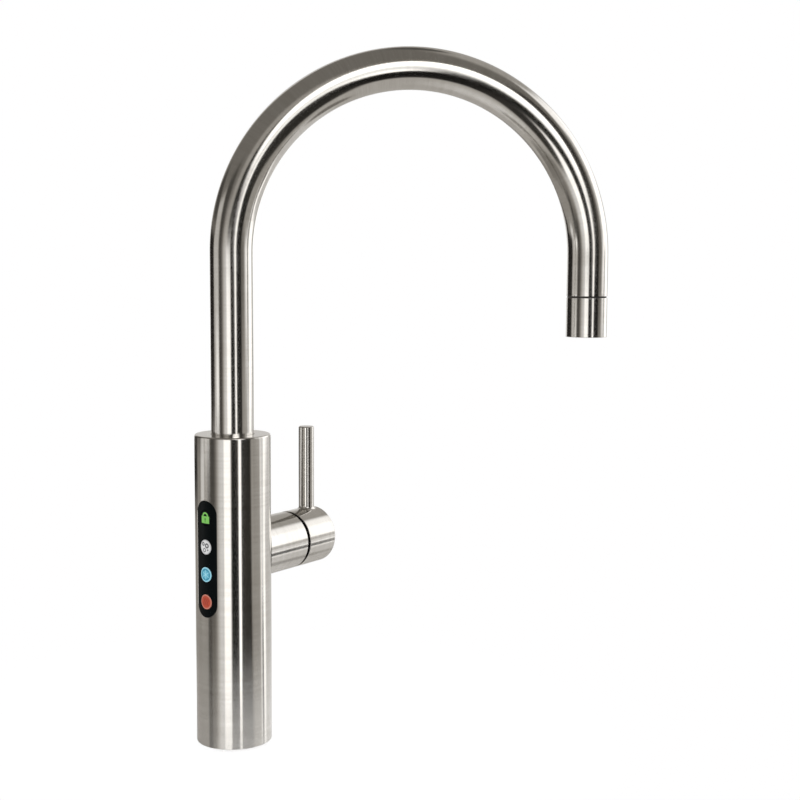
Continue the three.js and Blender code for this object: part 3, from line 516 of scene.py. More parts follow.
def rounded(corners, steps=4):
    """An outline of (radius, height, rounding) corners as plain (radius, height) points."""
    points = []
    for i, (r, z, rounding) in enumerate(corners):
        if not rounding:
            points.append((r, z))
            continue
        before, after = corners[i - 1][:2], corners[(i + 1) % len(corners)][:2]
        points += arc_corner(before, (r, z), after, rounding, steps)
    return points


def quarter_round(steps):
    """Along a quarter turn, how far its cosine and its sine fall short of 1."""
    angles = [math.pi / 2 * i / steps for i in range(steps + 1)]
    return [(1 - math.cos(angle), 1 - math.sin(angle)) for angle in angles]


def depth_at(radius, across):
    """How far out a round wall stands at a distance to one side."""
    return math.sqrt(max(radius ** 2 - across ** 2, 0))


def ring_at(place, radius, sides, height):
    """Points round the z of a frame, at one height or at the height that height(x) gives."""
    points = []
    for i in range(sides):
        angle = 2 * math.pi * i / sides
        x, y = radius * math.cos(angle), radius * math.sin(angle)
        points.append(place @ Vector((x, y, height(x) if callable(height) else height)))
    return points


def join_rings(bm, near, far):
    """Faces between two rings, either of which may be a single point."""
    sides = max(len(near), len(far))
    if sides == 1:
        return
    for i in range(sides):
        j = (i + 1) % sides
        corners = [near[i % len(near)], near[j % len(near)], far[j % len(far)], far[i % len(far)]]
        bm.faces.new([v for k, v in enumerate(corners) if v not in corners[:k]])


def merge_outwards(bm):
    """Closes the seams of a bmesh and turns its faces outwards."""
    bmesh.ops.remove_doubles(bm, verts=bm.verts, dist=MERGE_DISTANCE)
    bmesh.ops.recalc_face_normals(bm, faces=bm.faces)


def through(rings, flat_ends=True):
    """A closed mesh through rings of points. Without flat ends, the last joins the first."""
    bm = bmesh.new()
    made = [[bm.verts.new(point) for point in ring] for ring in rings]
    for near, far in zip(made, made[1:] if flat_ends else made[1:] + made[:1]):
        join_rings(bm, near, far)
    if flat_ends:
        bm.faces.new(made[0])
        bm.faces.new(made[-1])
    merge_outwards(bm)
    mesh = bpy.data.meshes.new("shape")
    bm.to_mesh(mesh)
    bm.free()
    return mesh


def turned(outline, sides, place=Matrix.Identity(4)):
    """A closed mesh turned about z from (radius, height) points."""
    return through([ring_at(place, r, sides if r else 1, z) for r, z in outline], False)


def bar(radius, start, end, sides, place=Matrix.Identity(4)):
    """A plain round bar, mostly to cut a hole with."""
    return turned([(0, start), (radius, start), (radius, end), (0, end)], sides, place)


def loose(mesh):
    thing = bpy.data.objects.new("shape", mesh)
    bpy.context.scene.collection.objects.link(thing)
    return thing


def applied(thing):
    """The object's mesh with its modifiers; the object is taken away."""
    graph = bpy.context.evaluated_depsgraph_get()
    mesh = bpy.data.meshes.new_from_object(thing.evaluated_get(graph))
    bpy.data.objects.remove(thing)
    return mesh


def carved(mesh, *cutters, operation="DIFFERENCE"):
    """The mesh less the cutters, kept to what it shares with them or joined to them."""
    thing = loose(mesh)
    tools = [loose(cutter) for cutter in cutters]
    for tool in tools:
        modifier = thing.modifiers.new("carve", "BOOLEAN")
        modifier.operation = operation
        modifier.solver = "EXACT"
        modifier.object = tool
    result = applied(thing)
    for tool in tools:
        bpy.data.objects.remove(tool)
    return result


def shaded(mesh, wall=None):
    """Smooth shading that keeps flat faces flat, and true round normals on a wall, which is
    given as a point and a direction of its axis, and its radius."""
    mesh.shade_smooth()
    mesh.set_sharp_from_angle(angle=SMOOTH_ANGLE)
    thing = loose(mesh)
    modifier = thing.modifiers.new("weigh", "WEIGHTED_NORMAL")
    modifier.keep_sharp = True
    modifier.weight = 100
    mesh = applied(thing)
    if wall is None:
        return mesh
    point, direction, radius = wall
    normals = [Vector(n.vector) for n in mesh.corner_normals]

    def outward(vertex):
        across = mesh.vertices[vertex].co - point
        return across - across.dot(direction) * direction

    for face in mesh.polygons:
        spokes = [outward(v) for v in face.vertices]
        if all(abs(spoke.length - radius) < ON_WALL for spoke in spokes):
            for loop, spoke in zip(face.loop_indices, spokes):
                normals[loop] = spoke.normalized()
    mesh.normals_split_custom_set([tuple(n) for n in normals])
    return mesh


def add_piece(name, mesh, body, slot, *nodes, material=None):
    """Puts a finished mesh in place of CAD nodes, on their body."""
    mesh.name = name
    mesh.materials.clear()
    mesh.materials.append(material or FINISHES[slot])
    piece = loose(mesh)
    piece.name = name
    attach(piece, body)
    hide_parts(*nodes)


def facing(azimuth, height):
    """A frame whose z points out of the body at an azimuth and whose y points up."""
    out = Vector((math.cos(azimuth), math.sin(azimuth), 0))
    matrix = Matrix((UP.cross(out), UP, out)).transposed().to_4x4()
    return Matrix.Translation((0, 0, height)) @ matrix


def upright_on_barrel(station):
    """A frame on the barrel's axis whose z points up."""
    return VALVE @ Matrix.Translation((0, 0, station)) @ Matrix.Rotation(-math.pi / 2, 4, "X")


VALVE = facing(LEVER_AZIMUTH, BARREL_HEIGHT)
PANEL = facing(PANEL_AZIMUTH, PANEL_HEIGHT)
ROD = upright_on_barrel(ROD_STATION)
SET_SCREW = upright_on_barrel(SET_SCREW_STATION)
OUTLET = Matrix.Translation((OUTLET_X, 0, 0))
BODY_WALL = (Vector((0, 0, 0)), UP, BODY_RADIUS)
LENS_WALL = (Vector((0, 0, 0)), UP, BODY_RADIUS - LENS_RECESS)
BARREL_WALL = (Vector((0, 0, BARREL_HEIGHT)),
               Vector((math.cos(LEVER_AZIMUTH), math.sin(LEVER_AZIMUTH), 0)), BARREL_RADIUS)


# ---------------------------------------------------------------- body, panel and keys

def slot_points(width, length, spread=0):
    """A slot outline with round ends in the panel's frame, grown by spread."""
    radius = width / 2 + spread
    straight = (length - width) / 2
    points = []
    for start, centre in ((0, straight), (math.pi, -straight)):
        for i in range(SLOT_STEPS + 1):
            angle = start + math.pi * i / SLOT_STEPS
            points.append((radius * math.cos(angle), centre + radius * math.sin(angle)))
    return points


def slot_cutter():
    """The panel's opening, with a broken edge where it meets the outside."""
    def ring(spread, depth):
        return [PANEL @ Vector((x, y, depth(x)))
                for x, y in slot_points(PANEL_WIDTH + 2 * FIT, PANEL_LENGTH + 2 * FIT, spread)]
    return through([
        ring(0, lambda x: 0),
        ring(0, lambda x: depth_at(BODY_RADIUS - SLOT_EDGE, x)),
        ring(SLOT_EDGE_SPREAD, lambda x: depth_at(BODY_RADIUS + SLOT_EDGE_RISE, x)),
        ring(SLOT_EDGE_SPREAD, lambda x: BODY_RADIUS + SLOT_PAST),
    ])


def make_body():
    outline = rounded([
        (BODY_BORE, 0, BORE_ROUNDING),
        (BODY_RADIUS, 0, FOOT_ROUNDING),
        (BODY_RADIUS, BODY_HEIGHT, RIM_ROUNDING),
        (SPOUT_RADIUS + FIT, BODY_HEIGHT, TOP_HOLE_ROUNDING),
        (SPOUT_RADIUS + FIT, BODY_HEIGHT - BODY_TOP_THICKNESS, 0),
        (BODY_BORE, BODY_HEIGHT - BODY_TOP_THICKNESS, 0),
    ])
    cartridge_hole = bar(CARTRIDGE_HOLE_RADIUS, 0, BODY_RADIUS + CARTRIDGE_HOLE_PAST,
                         CARTRIDGE_HOLE_SIDES, VALVE)
    shell = carved(turned(outline, BODY_SIDES), slot_cutter(), cartridge_hole)
    add_piece("body_tube", shaded(shell, BODY_WALL), "root", "brushed_steel", "body_shell",
              material=BODY_BRUSHING)


def make_lens():
    """The black face of the panel, flush with the body and pierced for its keys."""
    face = BODY_RADIUS - LENS_RECESS
    tube = turned([(BODY_BORE, 0), (face, 0), (face, BODY_HEIGHT), (BODY_BORE, BODY_HEIGHT)],
                  BODY_SIDES)
    outline = slot_points(PANEL_WIDTH, PANEL_LENGTH, LENS_SPREAD)
    plug = through([[PANEL @ Vector((x, y, z)) for x, y in outline]
                    for z in (0, BODY_RADIUS + LENS_PAST)])
    lens = carved(tube, plug, operation="INTERSECT")
    holes = [bar(KEY_RADIUS + FIT, 0, BODY_RADIUS + KEY_HOLE_PAST, KEY_SIDES,
                 facing(PANEL_AZIMUTH, height)) for height in KEY_HEIGHTS.values()]
    add_piece("panel_lens", shaded(carved(lens, *holes), LENS_WALL), "root", "gloss_black",
              "touch_lens")


def make_keys():
    """Each key's cap: a flange behind the lens and a face that follows the round of the body."""
    def front(recess):
        return lambda x: depth_at(BODY_RADIUS, x) - recess

    rows = [(KEY_FLANGE_RADIUS, KEY_BACK), (KEY_FLANGE_RADIUS, KEY_FLANGE_FRONT),
            (KEY_RADIUS, KEY_FLANGE_FRONT)]
    rows += [(KEY_RADIUS - KEY_EDGE * inwards, front(KEY_RECESS + KEY_EDGE * back))
             for inwards, back in quarter_round(4)]
    rows += [(KEY_RADIUS * share, front(KEY_RECESS)) for share in KEY_FACE_RINGS]
    for key, height in KEY_HEIGHTS.items():
        place = facing(PANEL_AZIMUTH, height)
        cap = through([ring_at(place, radius, KEY_SIDES, depth) for radius, depth in rows])
        add_piece(key + "_key_cap", shaded(cap), key + "_key", KEY_SLOTS[key], "key_" + key,
                  material=LOCK_PRINT if key == "lock" else None)


# ---------------------------------------------------------------- barrel and lever

def make_barrel():
    """The fixed barrel, whose near end sits on the round of the body."""
    def seat(x):
        return depth_at(BODY_RADIUS + FIT, x)

    # The two corners at the near end only aim the roundings of the far end.
    end = BARREL_END - SEAM_MARGIN
    *far_end, _, _ = rounded([(BARREL_RADIUS, end, BARREL_EDGE), (BARREL_BORE, end, BARREL_EDGE),
                              (BARREL_BORE, 0, 0), (BARREL_RADIUS, 0, 0)])
    rows = [(BARREL_BORE, seat), (BARREL_RADIUS, seat), *far_end]
    tube = through([ring_at(VALVE, radius, BARREL_SIDES, station) for radius, station in rows],
                   False)
    add_piece("barrel_tube", shaded(tube, BARREL_WALL), "root", "brushed_steel",
              "valve_barrel", material=BARREL_BRUSHING)


def make_seam():
    outline = rounded([
        (SEAM_BORE, SEAM_SPIGOT_START, 0),
        (BARREL_BORE - FIT, SEAM_SPIGOT_START, 0),
        (BARREL_BORE - FIT, BARREL_END, 0),
        (SEAM_RADIUS, BARREL_END, SEAM_EDGE),
        (SEAM_RADIUS, CAP_START, SEAM_EDGE),
        (SEAM_BORE, CAP_START, 0),
    ])
    # the ring's black is partly its own and partly painted shade in the seam
    add_piece("seam_shadow_ring", shaded(turned(outline, BARREL_SIDES, VALVE)), "root",
              "black_plastic", "seam_ring", material=SEAM_BLACK_AND_SHADE)


def over_cap(rise):
    """Heights in the rod's frame that follow the round of the cap."""
    return lambda x: depth_at(BARREL_RADIUS, x) + rise


def round_rod(rows):
    """A closed mesh through rings round the rod."""
    return through([ring_at(ROD, radius, ROD_SIDES, height) for radius, height in rows])


def rod_hole():
    """The rod's socket, with a rounded edge that follows the round of the cap."""
    hole = ROD_RADIUS + FIT
    edge = [(hole + ROD_RIM * outwards, over_cap(-ROD_RIM * down))
            for down, outwards in reversed(quarter_round(4))]
    return round_rod([(hole, ROD_FOOT - FIT), *edge,
                      (hole + ROD_RIM, BARREL_RADIUS + ROD_HOLE_PAST)])


def rod_flare():
    """The hollow fillet between the rod and the cap."""
    hollow = [(FLARE_BORE + FLARE * outwards, over_cap(FLARE_LIFT + FLARE * up))
              for outwards, up in quarter_round(8)]
    return round_rod([*hollow, (FLARE_BORE + FLARE, over_cap(-FLARE_DEPTH))])


def make_lever():
    outline = rounded([
        (CAP_POCKET_RADIUS, CAP_START + SEAM_MARGIN, CAP_POCKET_EDGE),
        (BARREL_RADIUS, CAP_START + SEAM_MARGIN, BARREL_EDGE),
        (BARREL_RADIUS, CAP_END, CAP_FILLET),
        (0, CAP_END, 0),
        (0, CAP_POCKET_END, 0),
        (CAP_POCKET_RADIUS, CAP_POCKET_END, 0),
    ], 6)
    screw_hole = bar(SET_SCREW_HOLE_RADIUS, -BARREL_RADIUS - SET_SCREW_HOLE_PAST, 0,
                     SET_SCREW_HOLE_SIDES, SET_SCREW)
    cap = carved(turned(outline, CAP_SIDES, VALVE), rod_hole(), screw_hole)
    add_piece("lever_hub", shaded(cap, BARREL_WALL), "lever", "brushed_steel", "lever_cap",
              material=BARREL_BRUSHING)
    rod = rounded([
        (0, ROD_FOOT, 0),
        (ROD_RADIUS, ROD_FOOT, ROD_FOOT_EDGE),
        (ROD_RADIUS, ROD_TOP - ROD_CHAMFER, ROD_CHAMFER_EDGE),
        (ROD_RADIUS - ROD_CHAMFER, ROD_TOP, ROD_CHAMFER_EDGE),
        (0, ROD_TOP, 0),
    ])
    lever_bar = carved(turned(rod, ROD_SIDES, ROD), rod_flare(), operation="UNION")
    add_piece("lever_bar", shaded(lever_bar), "lever", "brushed_steel", "lever_rod")


# ---------------------------------------------------------------- spout

def new_group(name, result, **kinds):
    """A geometry nodes tree with named inputs and one result, and a reader of its inputs."""
    group = bpy.data.node_groups.new(name, "GeometryNodeTree")
    for label, kind in kinds.items():
        group.interface.new_socket(name=label.replace("_", " "), in_out="INPUT",
                                   socket_type="NodeSocket" + kind)
    group.interface.new_socket(name=result, in_out="OUTPUT", socket_type="NodeSocketGeometry")
    tree = Tree(group)
    given = tree.add("NodeGroupInput").socket.node.outputs
    return group, tree, lambda label: Link(tree, given[label])


def grown(group, **values):
    """The mesh that a geometry nodes tree makes from named values."""
    thing = loose(bpy.data.meshes.new("grown"))
    modifier = thing.modifiers.new("grow", "NODES")
    modifier.node_group = group
    for item in group.interface.items_tree:
        label = item.name.replace(" ", "_")
        if item.in_out == "INPUT" and label in values:
            modifier[item.identifier] = values[label]
    return applied(thing)


def end_group(tree, result, geometry, finish):
    """Ends a geometry nodes tree in a plain mesh of one finish."""
    geometry = tree.add("GeometryNodeRealizeInstances", {"Geometry": geometry})
    geometry = tree.add("GeometryNodeSetMaterial", {"Geometry": geometry, "Material": finish})
    tree.add("NodeGroupOutput", {result: geometry})


def stored(tree, geometry, name, value, data_type):
    """The geometry with a named number or vector on each of its points."""
    return tree.add("GeometryNodeStoreNamedAttribute",
                    {"Geometry": geometry, "Name": name, "Value": value},
                    data_type=data_type, domain="POINT")


def pipe_tree():
    """Geometry nodes that draw a pipe up a leg, over the arch and down to its end."""
    group, tree, size = new_group(
        "arched_pipe", "Pipe", Foot="Float", Leg_Top="Float", Arch_Radius="Float", End="Float",
        Pipe_Radius="Float", Steps="Int", Sides="Int", Finish="Material")
    leg = size("Leg Top") - size("Foot")
    arch = size("Arch Radius") * math.pi
    length = leg + arch + (size("Leg Top") - size("End"))
    line = tree.add("GeometryNodeCurvePrimitiveLine", {"End": tree.vector(Z=length)})
    line = tree.add("GeometryNodeResampleCurve", {"Curve": line, "Count": size("Steps")})
    travelled = tree.add("GeometryNodeSplineParameter", output="Length")
    turn = ((travelled - leg) / size("Arch Radius")).higher(0).lower(math.pi)
    x = size("Arch Radius") * (1 - turn.math("COSINE"))
    rise = size("Arch Radius") * turn.math("SINE")
    fall = (travelled - leg - arch).higher(0)
    z = size("Foot") + travelled.lower(leg) + rise - fall
    line = stored(tree, line, "travelled", travelled, "FLOAT")
    line = tree.add("GeometryNodeSetPosition",
                    {"Geometry": line, "Position": tree.vector(X=x, Z=z)})
    section = tree.add("GeometryNodeCurvePrimitiveCircle",
                       {"Resolution": size("Sides"), "Radius": size("Pipe Radius")})
    section = stored(tree, section, "round", tree.add("GeometryNodeInputPosition"),
                     "FLOAT_VECTOR")
    pipe = tree.add("GeometryNodeCurveToMesh", {"Curve": line, "Profile Curve": section})
    along = tree.add("GeometryNodeInputNamedAttribute", {"Name": "travelled"}, "Attribute",
                     data_type="FLOAT")
    around = tree.add("GeometryNodeInputNamedAttribute", {"Name": "round"}, "Attribute",
                      data_type="FLOAT_VECTOR")
    round_x, round_y, _ = tree.xyz(around)
    brushing = tree.vector(X=along, Y=round_x, Z=round_y)
    end_group(tree, "Pipe", stored(tree, pipe, "brushing", brushing, "FLOAT_VECTOR"),
              size("Finish"))
    return group


def pipe(group, finish, radius, wall, foot, end, steps, sides):
    """A pipe with a wall and open ends, along the spout's line."""
    mesh = grown(group, Foot=foot, Leg_Top=LEG_TOP, Arch_Radius=ARCH_RADIUS, End=end,
                 Pipe_Radius=radius, Steps=steps, Sides=sides, Finish=finish)
    bm = bmesh.new()
    bm.from_mesh(mesh)
    merge_outwards(bm)
    lowest = min(bm.faces, key=lambda f: f.calc_center_median().z)
    centre = lowest.calc_center_median()
    middle_x = 0 if centre.x < ARCH_RADIUS else OUTLET_X
    if lowest.normal.dot(Vector((centre.x - middle_x, centre.y, 0))) < 0:
        bmesh.ops.reverse_faces(bm, faces=bm.faces)
    bm.to_mesh(mesh)
    bm.free()
    for name in ("travelled", "round"):
        mesh.attributes.remove(mesh.attributes[name])
    thing = loose(mesh)
    solid = thing.modifiers.new("wall", "SOLIDIFY")
    solid.thickness = wall
    solid.offset = -1
    bevel = thing.modifiers.new("edge", "BEVEL")
    bevel.width = min(PIPE_EDGE, wall / 4)
    bevel.segments = 2
    bevel.limit_method = "ANGLE"
    bevel.angle_limit = PIPE_EDGE_ANGLE
    return shaded(applied(thing))


def make_spout():
    """The arch and the two lines in it, whose sizes end in their steps along and round."""
    group = pipe_tree()
    for name, node, slot, finish, *sizes in (
            ("spout_arch", "spout_tube", "brushed_steel", SPOUT_BRUSHING,
             SPOUT_RADIUS, SPOUT_WALL, SPOUT_FOOT, SPOUT_END, 200, 96),
            ("filtered_pipe", "filtered_line", "white_plastic", FINISHES["white_plastic"],
             FILTERED_RADIUS, FILTERED_WALL, LINE_FOOT, LINE_END, 120, 40),
            ("boiling_pipe", "boiling_line", "steel_pipe", FINISHES["steel_pipe"],
             BOILING_RADIUS, BOILING_WALL, LINE_FOOT, LINE_END, 120, 32)):
        add_piece(name, pipe(group, finish, *sizes), "spout", slot, node, material=finish)


def flow_grid_tree():
    """Geometry nodes that pierce a ring with a circle of holes."""
    group, tree, size = new_group(
        "pierced_ring", "Grid", Outer="Float", Inner="Float", Foot="Float", Thickness="Float",
        Hole_Radius="Float", Holes="Int", Place="Vector", Finish="Material")

    def rod(radius, height, sides):
        return tree.add("GeometryNodeMeshCylinder",
                        {"Vertices": sides, "Radius": radius, "Depth": height}, "Mesh")

    def pierced(ring, cutter):
        return tree.add("GeometryNodeMeshBoolean", {0: ring, 1: cutter}, operation="DIFFERENCE",
                        solver="EXACT")

    middle = (size("Outer") + size("Inner")) / 2
    circle = tree.add("GeometryNodeCurvePrimitiveCircle",
                      {"Resolution": size("Holes"), "Radius": middle})
    points = tree.add("GeometryNodeCurveToPoints", {"Curve": circle}, mode="EVALUATED")
    drills = tree.add("GeometryNodeInstanceOnPoints", {
        "Points": points, "Instance": rod(size("Hole Radius"), size("Thickness") * 3, 24)})
    drills = tree.add("GeometryNodeRealizeInstances", {"Geometry": drills})
    ring = pierced(rod(size("Outer"), size("Thickness"), 96),
                   rod(size("Inner"), size("Thickness") * 3, 64))
    ring = pierced(ring, drills)
    lift = tree.vector(Z=size("Foot") + size("Thickness") / 2)
    ring = tree.add("GeometryNodeSetPosition",
                    {"Geometry": ring, "Offset": tree.vector_math("ADD", size("Place"), lift)})
    end_group(tree, "Grid", ring, size("Finish"))
    return group


def make_outlet():
    lip = SPOUT_RADIUS - OUTLET_LIP_WIDTH
    rings = (
        ("outlet_collar", "outlet_sleeve", "brushed_steel", [
            (lip, OUTLET_FOOT, OUTLET_EDGE),
            (SPOUT_RADIUS, OUTLET_FOOT, OUTLET_EDGE),
            (SPOUT_RADIUS, SLEEVE_TOP, OUTLET_EDGE),
            (SPOUT_BORE, SLEEVE_TOP, 0),
            (SPOUT_BORE, OUTLET_FOOT + OUTLET_LIP_DEPTH, 0),
            (lip, OUTLET_FOOT + OUTLET_LIP_DEPTH, 0)]),
        ("outlet_seal", "outlet_washer", "rubber", [
            (SPOUT_BORE, SLEEVE_TOP + WASHER_GAP, 0),
            (WASHER_RADIUS, SLEEVE_TOP + WASHER_GAP, WASHER_EDGE),
            (WASHER_RADIUS, SPOUT_END - WASHER_GAP, WASHER_EDGE),
            (SPOUT_BORE, SPOUT_END - WASHER_GAP, 0)]),
        ("aerator_housing", "aerator_body", "black_plastic", [
            (AERATOR_BORE, AERATOR_FOOT, AERATOR_EDGE),
            (AERATOR_RADIUS, AERATOR_FOOT, AERATOR_EDGE),
            (AERATOR_RADIUS, AERATOR_TOP, 0),
            (AERATOR_BORE, AERATOR_TOP, 0)]),
    )
    for name, node, slot, corners in rings:
        ring = turned(rounded(corners), OUTLET_SIDES, OUTLET)
        add_piece(name, shaded(ring), "spout", slot, node)
    grid = grown(flow_grid_tree(), Outer=AERATOR_BORE - FIT, Inner=FILTERED_RADIUS + FIT,
                 Foot=AERATOR_FOOT, Thickness=FLOW_GRID_THICKNESS, Hole_Radius=FLOW_HOLE_RADIUS,
                 Holes=FLOW_HOLE_COUNT, Place=(OUTLET_X, 0, 0), Finish=FINISHES["black_plastic"])
    add_piece("flow_grille", shaded(grid), "spout", "black_plastic", "flow_grid")


# ---------------------------------------------------------------- studio

CAMERA_PLACE = Vector((-0.07271, -0.88443, 0.31562))
CAMERA_AZIMUTH = math.radians(11.84)  # from +Y towards +X
CAMERA_PITCH = math.radians(-5.63)
CAMERA_ROLL = math.radians(0.30)
CAMERA_LENS = 60.54  # millimetres
CAMERA_SENSOR = 36  # millimetres across


def add_camera():
    data = bpy.data.cameras.new("camera")
    data.sensor_fit = "HORIZONTAL"
    data.sensor_width = CAMERA_SENSOR
    data.lens = CAMERA_LENS
    camera = bpy.data.objects.new("camera", data)
    bpy.context.scene.collection.objects.link(camera)
    flat = Matrix.Rotation(-CAMERA_AZIMUTH, 4, "Z")
    tilt = Matrix.Rotation(math.pi / 2 + CAMERA_PITCH, 4, "X")
    roll = Matrix.Rotation(CAMERA_ROLL, 4, "Z")
    camera.matrix_world = Matrix.Translation(CAMERA_PLACE) @ flat @ tilt @ roll
    bpy.context.scene.camera = camera


# What the steel reflects: soft panels and dark flags round the tap, in the order they are set
# up. UPRIGHTS, DISCS and STRIPS count degrees right and up from STUDIO_FRONT, the way that the
# front of the spout faces. LEFT_SIDE counts degrees from -Y towards +X, and up from level.
STUDIO_FRONT = Vector((0.2042, -0.9740, -0.098)).normalized()
UPRIGHTS = [  # (left edge, right edge, foot, top, softness, brightness)
    (62, 190, -42, 64, 24, 1.7),  # the large panel on the right
    (44, 73, -44, -1, 10, 0.38),  # grey card before its near edge
    (55, 97, 44, 69, 10, 1.4),  # its head
    (60, 69, 8, 44, 6, 0.6),  # its near edge
    (92, 118, -42, -16, 8, 0.70),  # grey card before its foot
    (118, 142, -45, 25, 12, 0.50),  # grey card before its far half
    (60, 135, -76, -34, 10, 0.70),  # pale ground on the right
    (74, 86, -8, 4, 4, 0.55),  # grey bar on the right
    (76, 86, -16, -8, 5, 0.85),  # pale bar under it
    (75.5, 82.8, -31, -19, 2, 0.0),  # black line under it
    (-97, -60, -110, 0, 14, 0.24),  # dim ground on the left
    (-118, -84, 6, 34, 10, 0.62),  # high card on the left
    (-88, -62, -19, 40, 12, 0.07),  # dark flag on the left
    (-60, 0, -30, 12, 34, 0.95),  # wide soft panel on the left
    (-152, -118, 20, 78, 14, 0.07),  # dark flag high on the left
]
LEFT_SIDE = [
    (-112, -78, -7, 6, 8, 0.62),  # grey card on the left
    (-97, -79, -8, -3, 6, 1.5),  # bright line at its foot
    (-190, -86, -26, -7, 6, 0.34),  # dim card under it
    (-118, -101, -11.5, -7, 5, 1.0),  # bright line at its head
    (-88, -74, -26, -7, 6, 0.09),  # its dark end
    (-190, -112, -7, 6, 8, 0.02),  # dark flag on the far left
    (-200, -160, -7, 6, 5, 0.9),  # panel behind on the left
    (-190, -138, -10, -7, 8, 0.0),  # dark flag under it
    (166, 190, -10, -7, 8, 0.03),  # dark flag behind on the right
    (140, 200, 2, 40, 10, 0.66),  # grey card behind
    (-200, -160, 2, 40, 10, 0.66),  # its far end
]
LEFT_SIDE_EDGE = 2  # softness of the feet and tops
DISCS = [  # (right, up, half width, half height, softness, brightness)
    (66, 92, 34, 27, 0.7, 0.42),  # pale card overhead
    (112, 92, 30, 22, 0.6, 0.42),  # its right end
    (42, 112, 16, 14, 0.5, 0.10),  # dark flag high on the right
    (66, -66, 12, 12, 0.5, 0.20),  # dark flag low on the right
    (-24, 20, 24, 22, 0.6, 0.40),  # haze on the left
    (-3, -11, 42, 40, 0.14, 0.012),  # the round black flag in front
    (23, -10, 15, 10, 0.5, 0.04),  # its lighter middle
    (-32, -36, 21, 16, 0.5, 0.03),  # its lighter corners, low on the left
    (33, -28, 15, 18, 0.5, 0.03),  # low on the right
    (31, 24, 14, 18, 0.5, 0.04),  # and high on the right
    (2.5, 21, 18.5, 13.2, 0.26, 2.4),  # the lamp
]
STRIPS = [  # as UPRIGHTS
    (-44, -22.5, -22, 6.5, 5, 1.65),  # lamp on the left
    (-1, 8.5, 2, 12, 4, 1.5),  # strip under the lamp
    (0, 8.5, -5, 3, 3, 1.6),  # its middle
    (0.5, 7.5, -15, -4, 2.5, 2.2),  # its foot
]
CEILING_BRIGHTNESS = 0.19
FLOOR_SIDE_BRIGHTNESS = 0.50
HORIZON = (-1, 9)  # height and softness
FILL_BRIGHTNESS = 1.05
BRIGHT_TINT = (1.0, 0.99, 0.975)
DIM_TINT = (1.07, 1.0, 0.90)


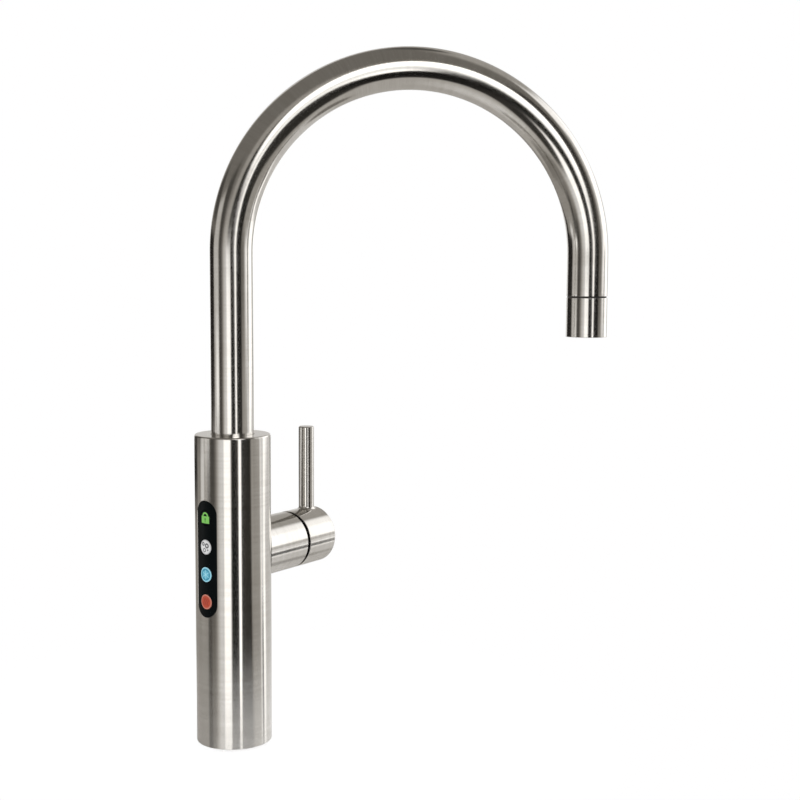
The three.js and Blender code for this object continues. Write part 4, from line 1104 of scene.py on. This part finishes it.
def add_world():
    """The studio. The view past the tap is plain white, and what isn't a reflection is lit
    evenly."""
    world = bpy.data.worlds.new("studio")
    bpy.context.scene.world = world
    world.use_nodes = True
    world.node_tree.nodes.clear()
    world.cycles.sampling_method = "NONE"
    tree = Tree(world.node_tree)
    way = tree.add("ShaderNodeTexCoord", output="Generated")
    right = (-STUDIO_FRONT).cross(UP).normalized()
    up = right.cross(-STUDIO_FRONT)
    x, y, z = (tree.dot(way, axis) for axis in (right, up, STUDIO_FRONT))
    off_axis = z.higher(-1).lower(1).math("ARCCOSINE") * (180 / math.pi)
    spread = off_axis / (x ** 2 + y ** 2 + 1e-9) ** 0.5
    across, height = x * spread, y * spread
    east, north, rise = tree.xyz(way)
    azimuth = east.math("ARCTAN2", -north) * (180 / math.pi)
    elevation = rise.math("ARCSINE") * (180 / math.pi)

    def paint(level, mask, brightness):
        return level + (brightness - level) * mask

    def panel(left, far, foot, top, soft):
        return (across.over(left, soft) * across.under(far, soft)
                * height.over(foot, soft) * height.under(top, soft))

    level = paint(CEILING_BRIGHTNESS, height.under(*HORIZON), FLOOR_SIDE_BRIGHTNESS)
    for *edges, brightness in UPRIGHTS:
        level = paint(level, panel(*edges), brightness)
    for left, far, foot, top, soft, brightness in LEFT_SIDE:
        mask = (azimuth.over(left, soft) * azimuth.under(far, soft)
                * elevation.over(foot, LEFT_SIDE_EDGE) * elevation.under(top, LEFT_SIDE_EDGE))
        level = paint(level, mask, brightness)
    for right_by, up_by, half_width, half_height, soft, brightness in DISCS:
        reach = length_of((across - right_by) / half_width, (height - up_by) / half_height)
        level = paint(level, reach.under(1, soft), brightness)
    for *edges, brightness in STRIPS:
        level = paint(level, panel(*edges), brightness)

    def light(color, strength):
        return tree.add("ShaderNodeBackground", {"Color": color, "Strength": strength})

    reflected = light(tree.mix(level.under(0.5, 0.9), BRIGHT_TINT, DIM_TINT), level)
    rays = tree.add("ShaderNodeLightPath").socket.node.outputs
    lit = tree.blend(Link(tree, rays["Is Glossy Ray"]), light((1, 1, 1, 1), FILL_BRIGHTNESS),
                     reflected)
    seen = tree.blend(Link(tree, rays["Is Camera Ray"]), lit, light((1, 1, 1, 1), 1.0))
    tree.add("ShaderNodeOutputWorld", {"Surface": seen})


FLOOR_RADIUS = 0.26
FLOOR_THICKNESS = 2 * MM
FLOOR_GAP = 0.2 * MM
FLOOR_SIDES = 128
FLOOR_DENSITY = 0.31
FLOOR_FADE = 1.1
CLEAR_WAY = (-0.996, 0.087)  # the side on which less of the floor shows
CLEAR_EDGE = (0.45, 0.6)  # place and softness of that side's edge
CLEAR_SHARE = 0.75


def add_floor():
    """A pale round floor that fades into the white round it."""
    floor = loose(bar(FLOOR_RADIUS, 0, -FLOOR_THICKNESS, FLOOR_SIDES,
                      Matrix.Translation((0, 0, -FLOOR_GAP))))
    floor.name = "floor"
    material, tree = new_material("pale_floor")
    point = tree.object_point()
    x, y, _ = tree.xyz(point)
    reach = length_of(x, y)
    side = (CLEAR_WAY[0] * x + CLEAR_WAY[1] * y) / (reach + 1e-6)
    shown = (FLOOR_DENSITY * (1 - reach / FLOOR_RADIUS).higher(0) ** FLOOR_FADE
             * (1 - CLEAR_SHARE * side.over(*CLEAR_EDGE)))
    shader = tree.surface(
        Base_Color=tree.mix(tree.noise(point, 300, 3), (0.93, 0.93, 0.93), (0.96, 0.96, 0.96)),
        Roughness=0.9, Specular_IOR_Level=0.1, Emission_Color=(1, 1, 1, 1),
        Emission_Strength=0.3)
    faded = tree.blend(shown, tree.add("ShaderNodeBsdfTransparent"), shader)
    tree.add("ShaderNodeOutputMaterial", {"Surface": faded})
    floor.data.materials.append(material)


# ---------------------------------------------------------------- the whole

def dress_nodes():
    """Gives each carried-over solid the finish of its slot."""
    for subpart in frame["record"]["subparts"]:
        node = frame["nodes"][subpart["node"]]
        node.data.materials.clear()
        node.data.materials.append(FINISHES[subpart["material_slot"]])


add_camera()
dress_nodes()
make_body()
make_lens()
make_keys()
make_barrel()
make_seam()
make_lever()
make_spout()
make_outlet()
add_world()
add_floor()
bpy.context.scene.view_settings.view_transform = "Standard"
bpy.context.scene.cycles.denoising_input_passes = "RGB_ALBEDO"
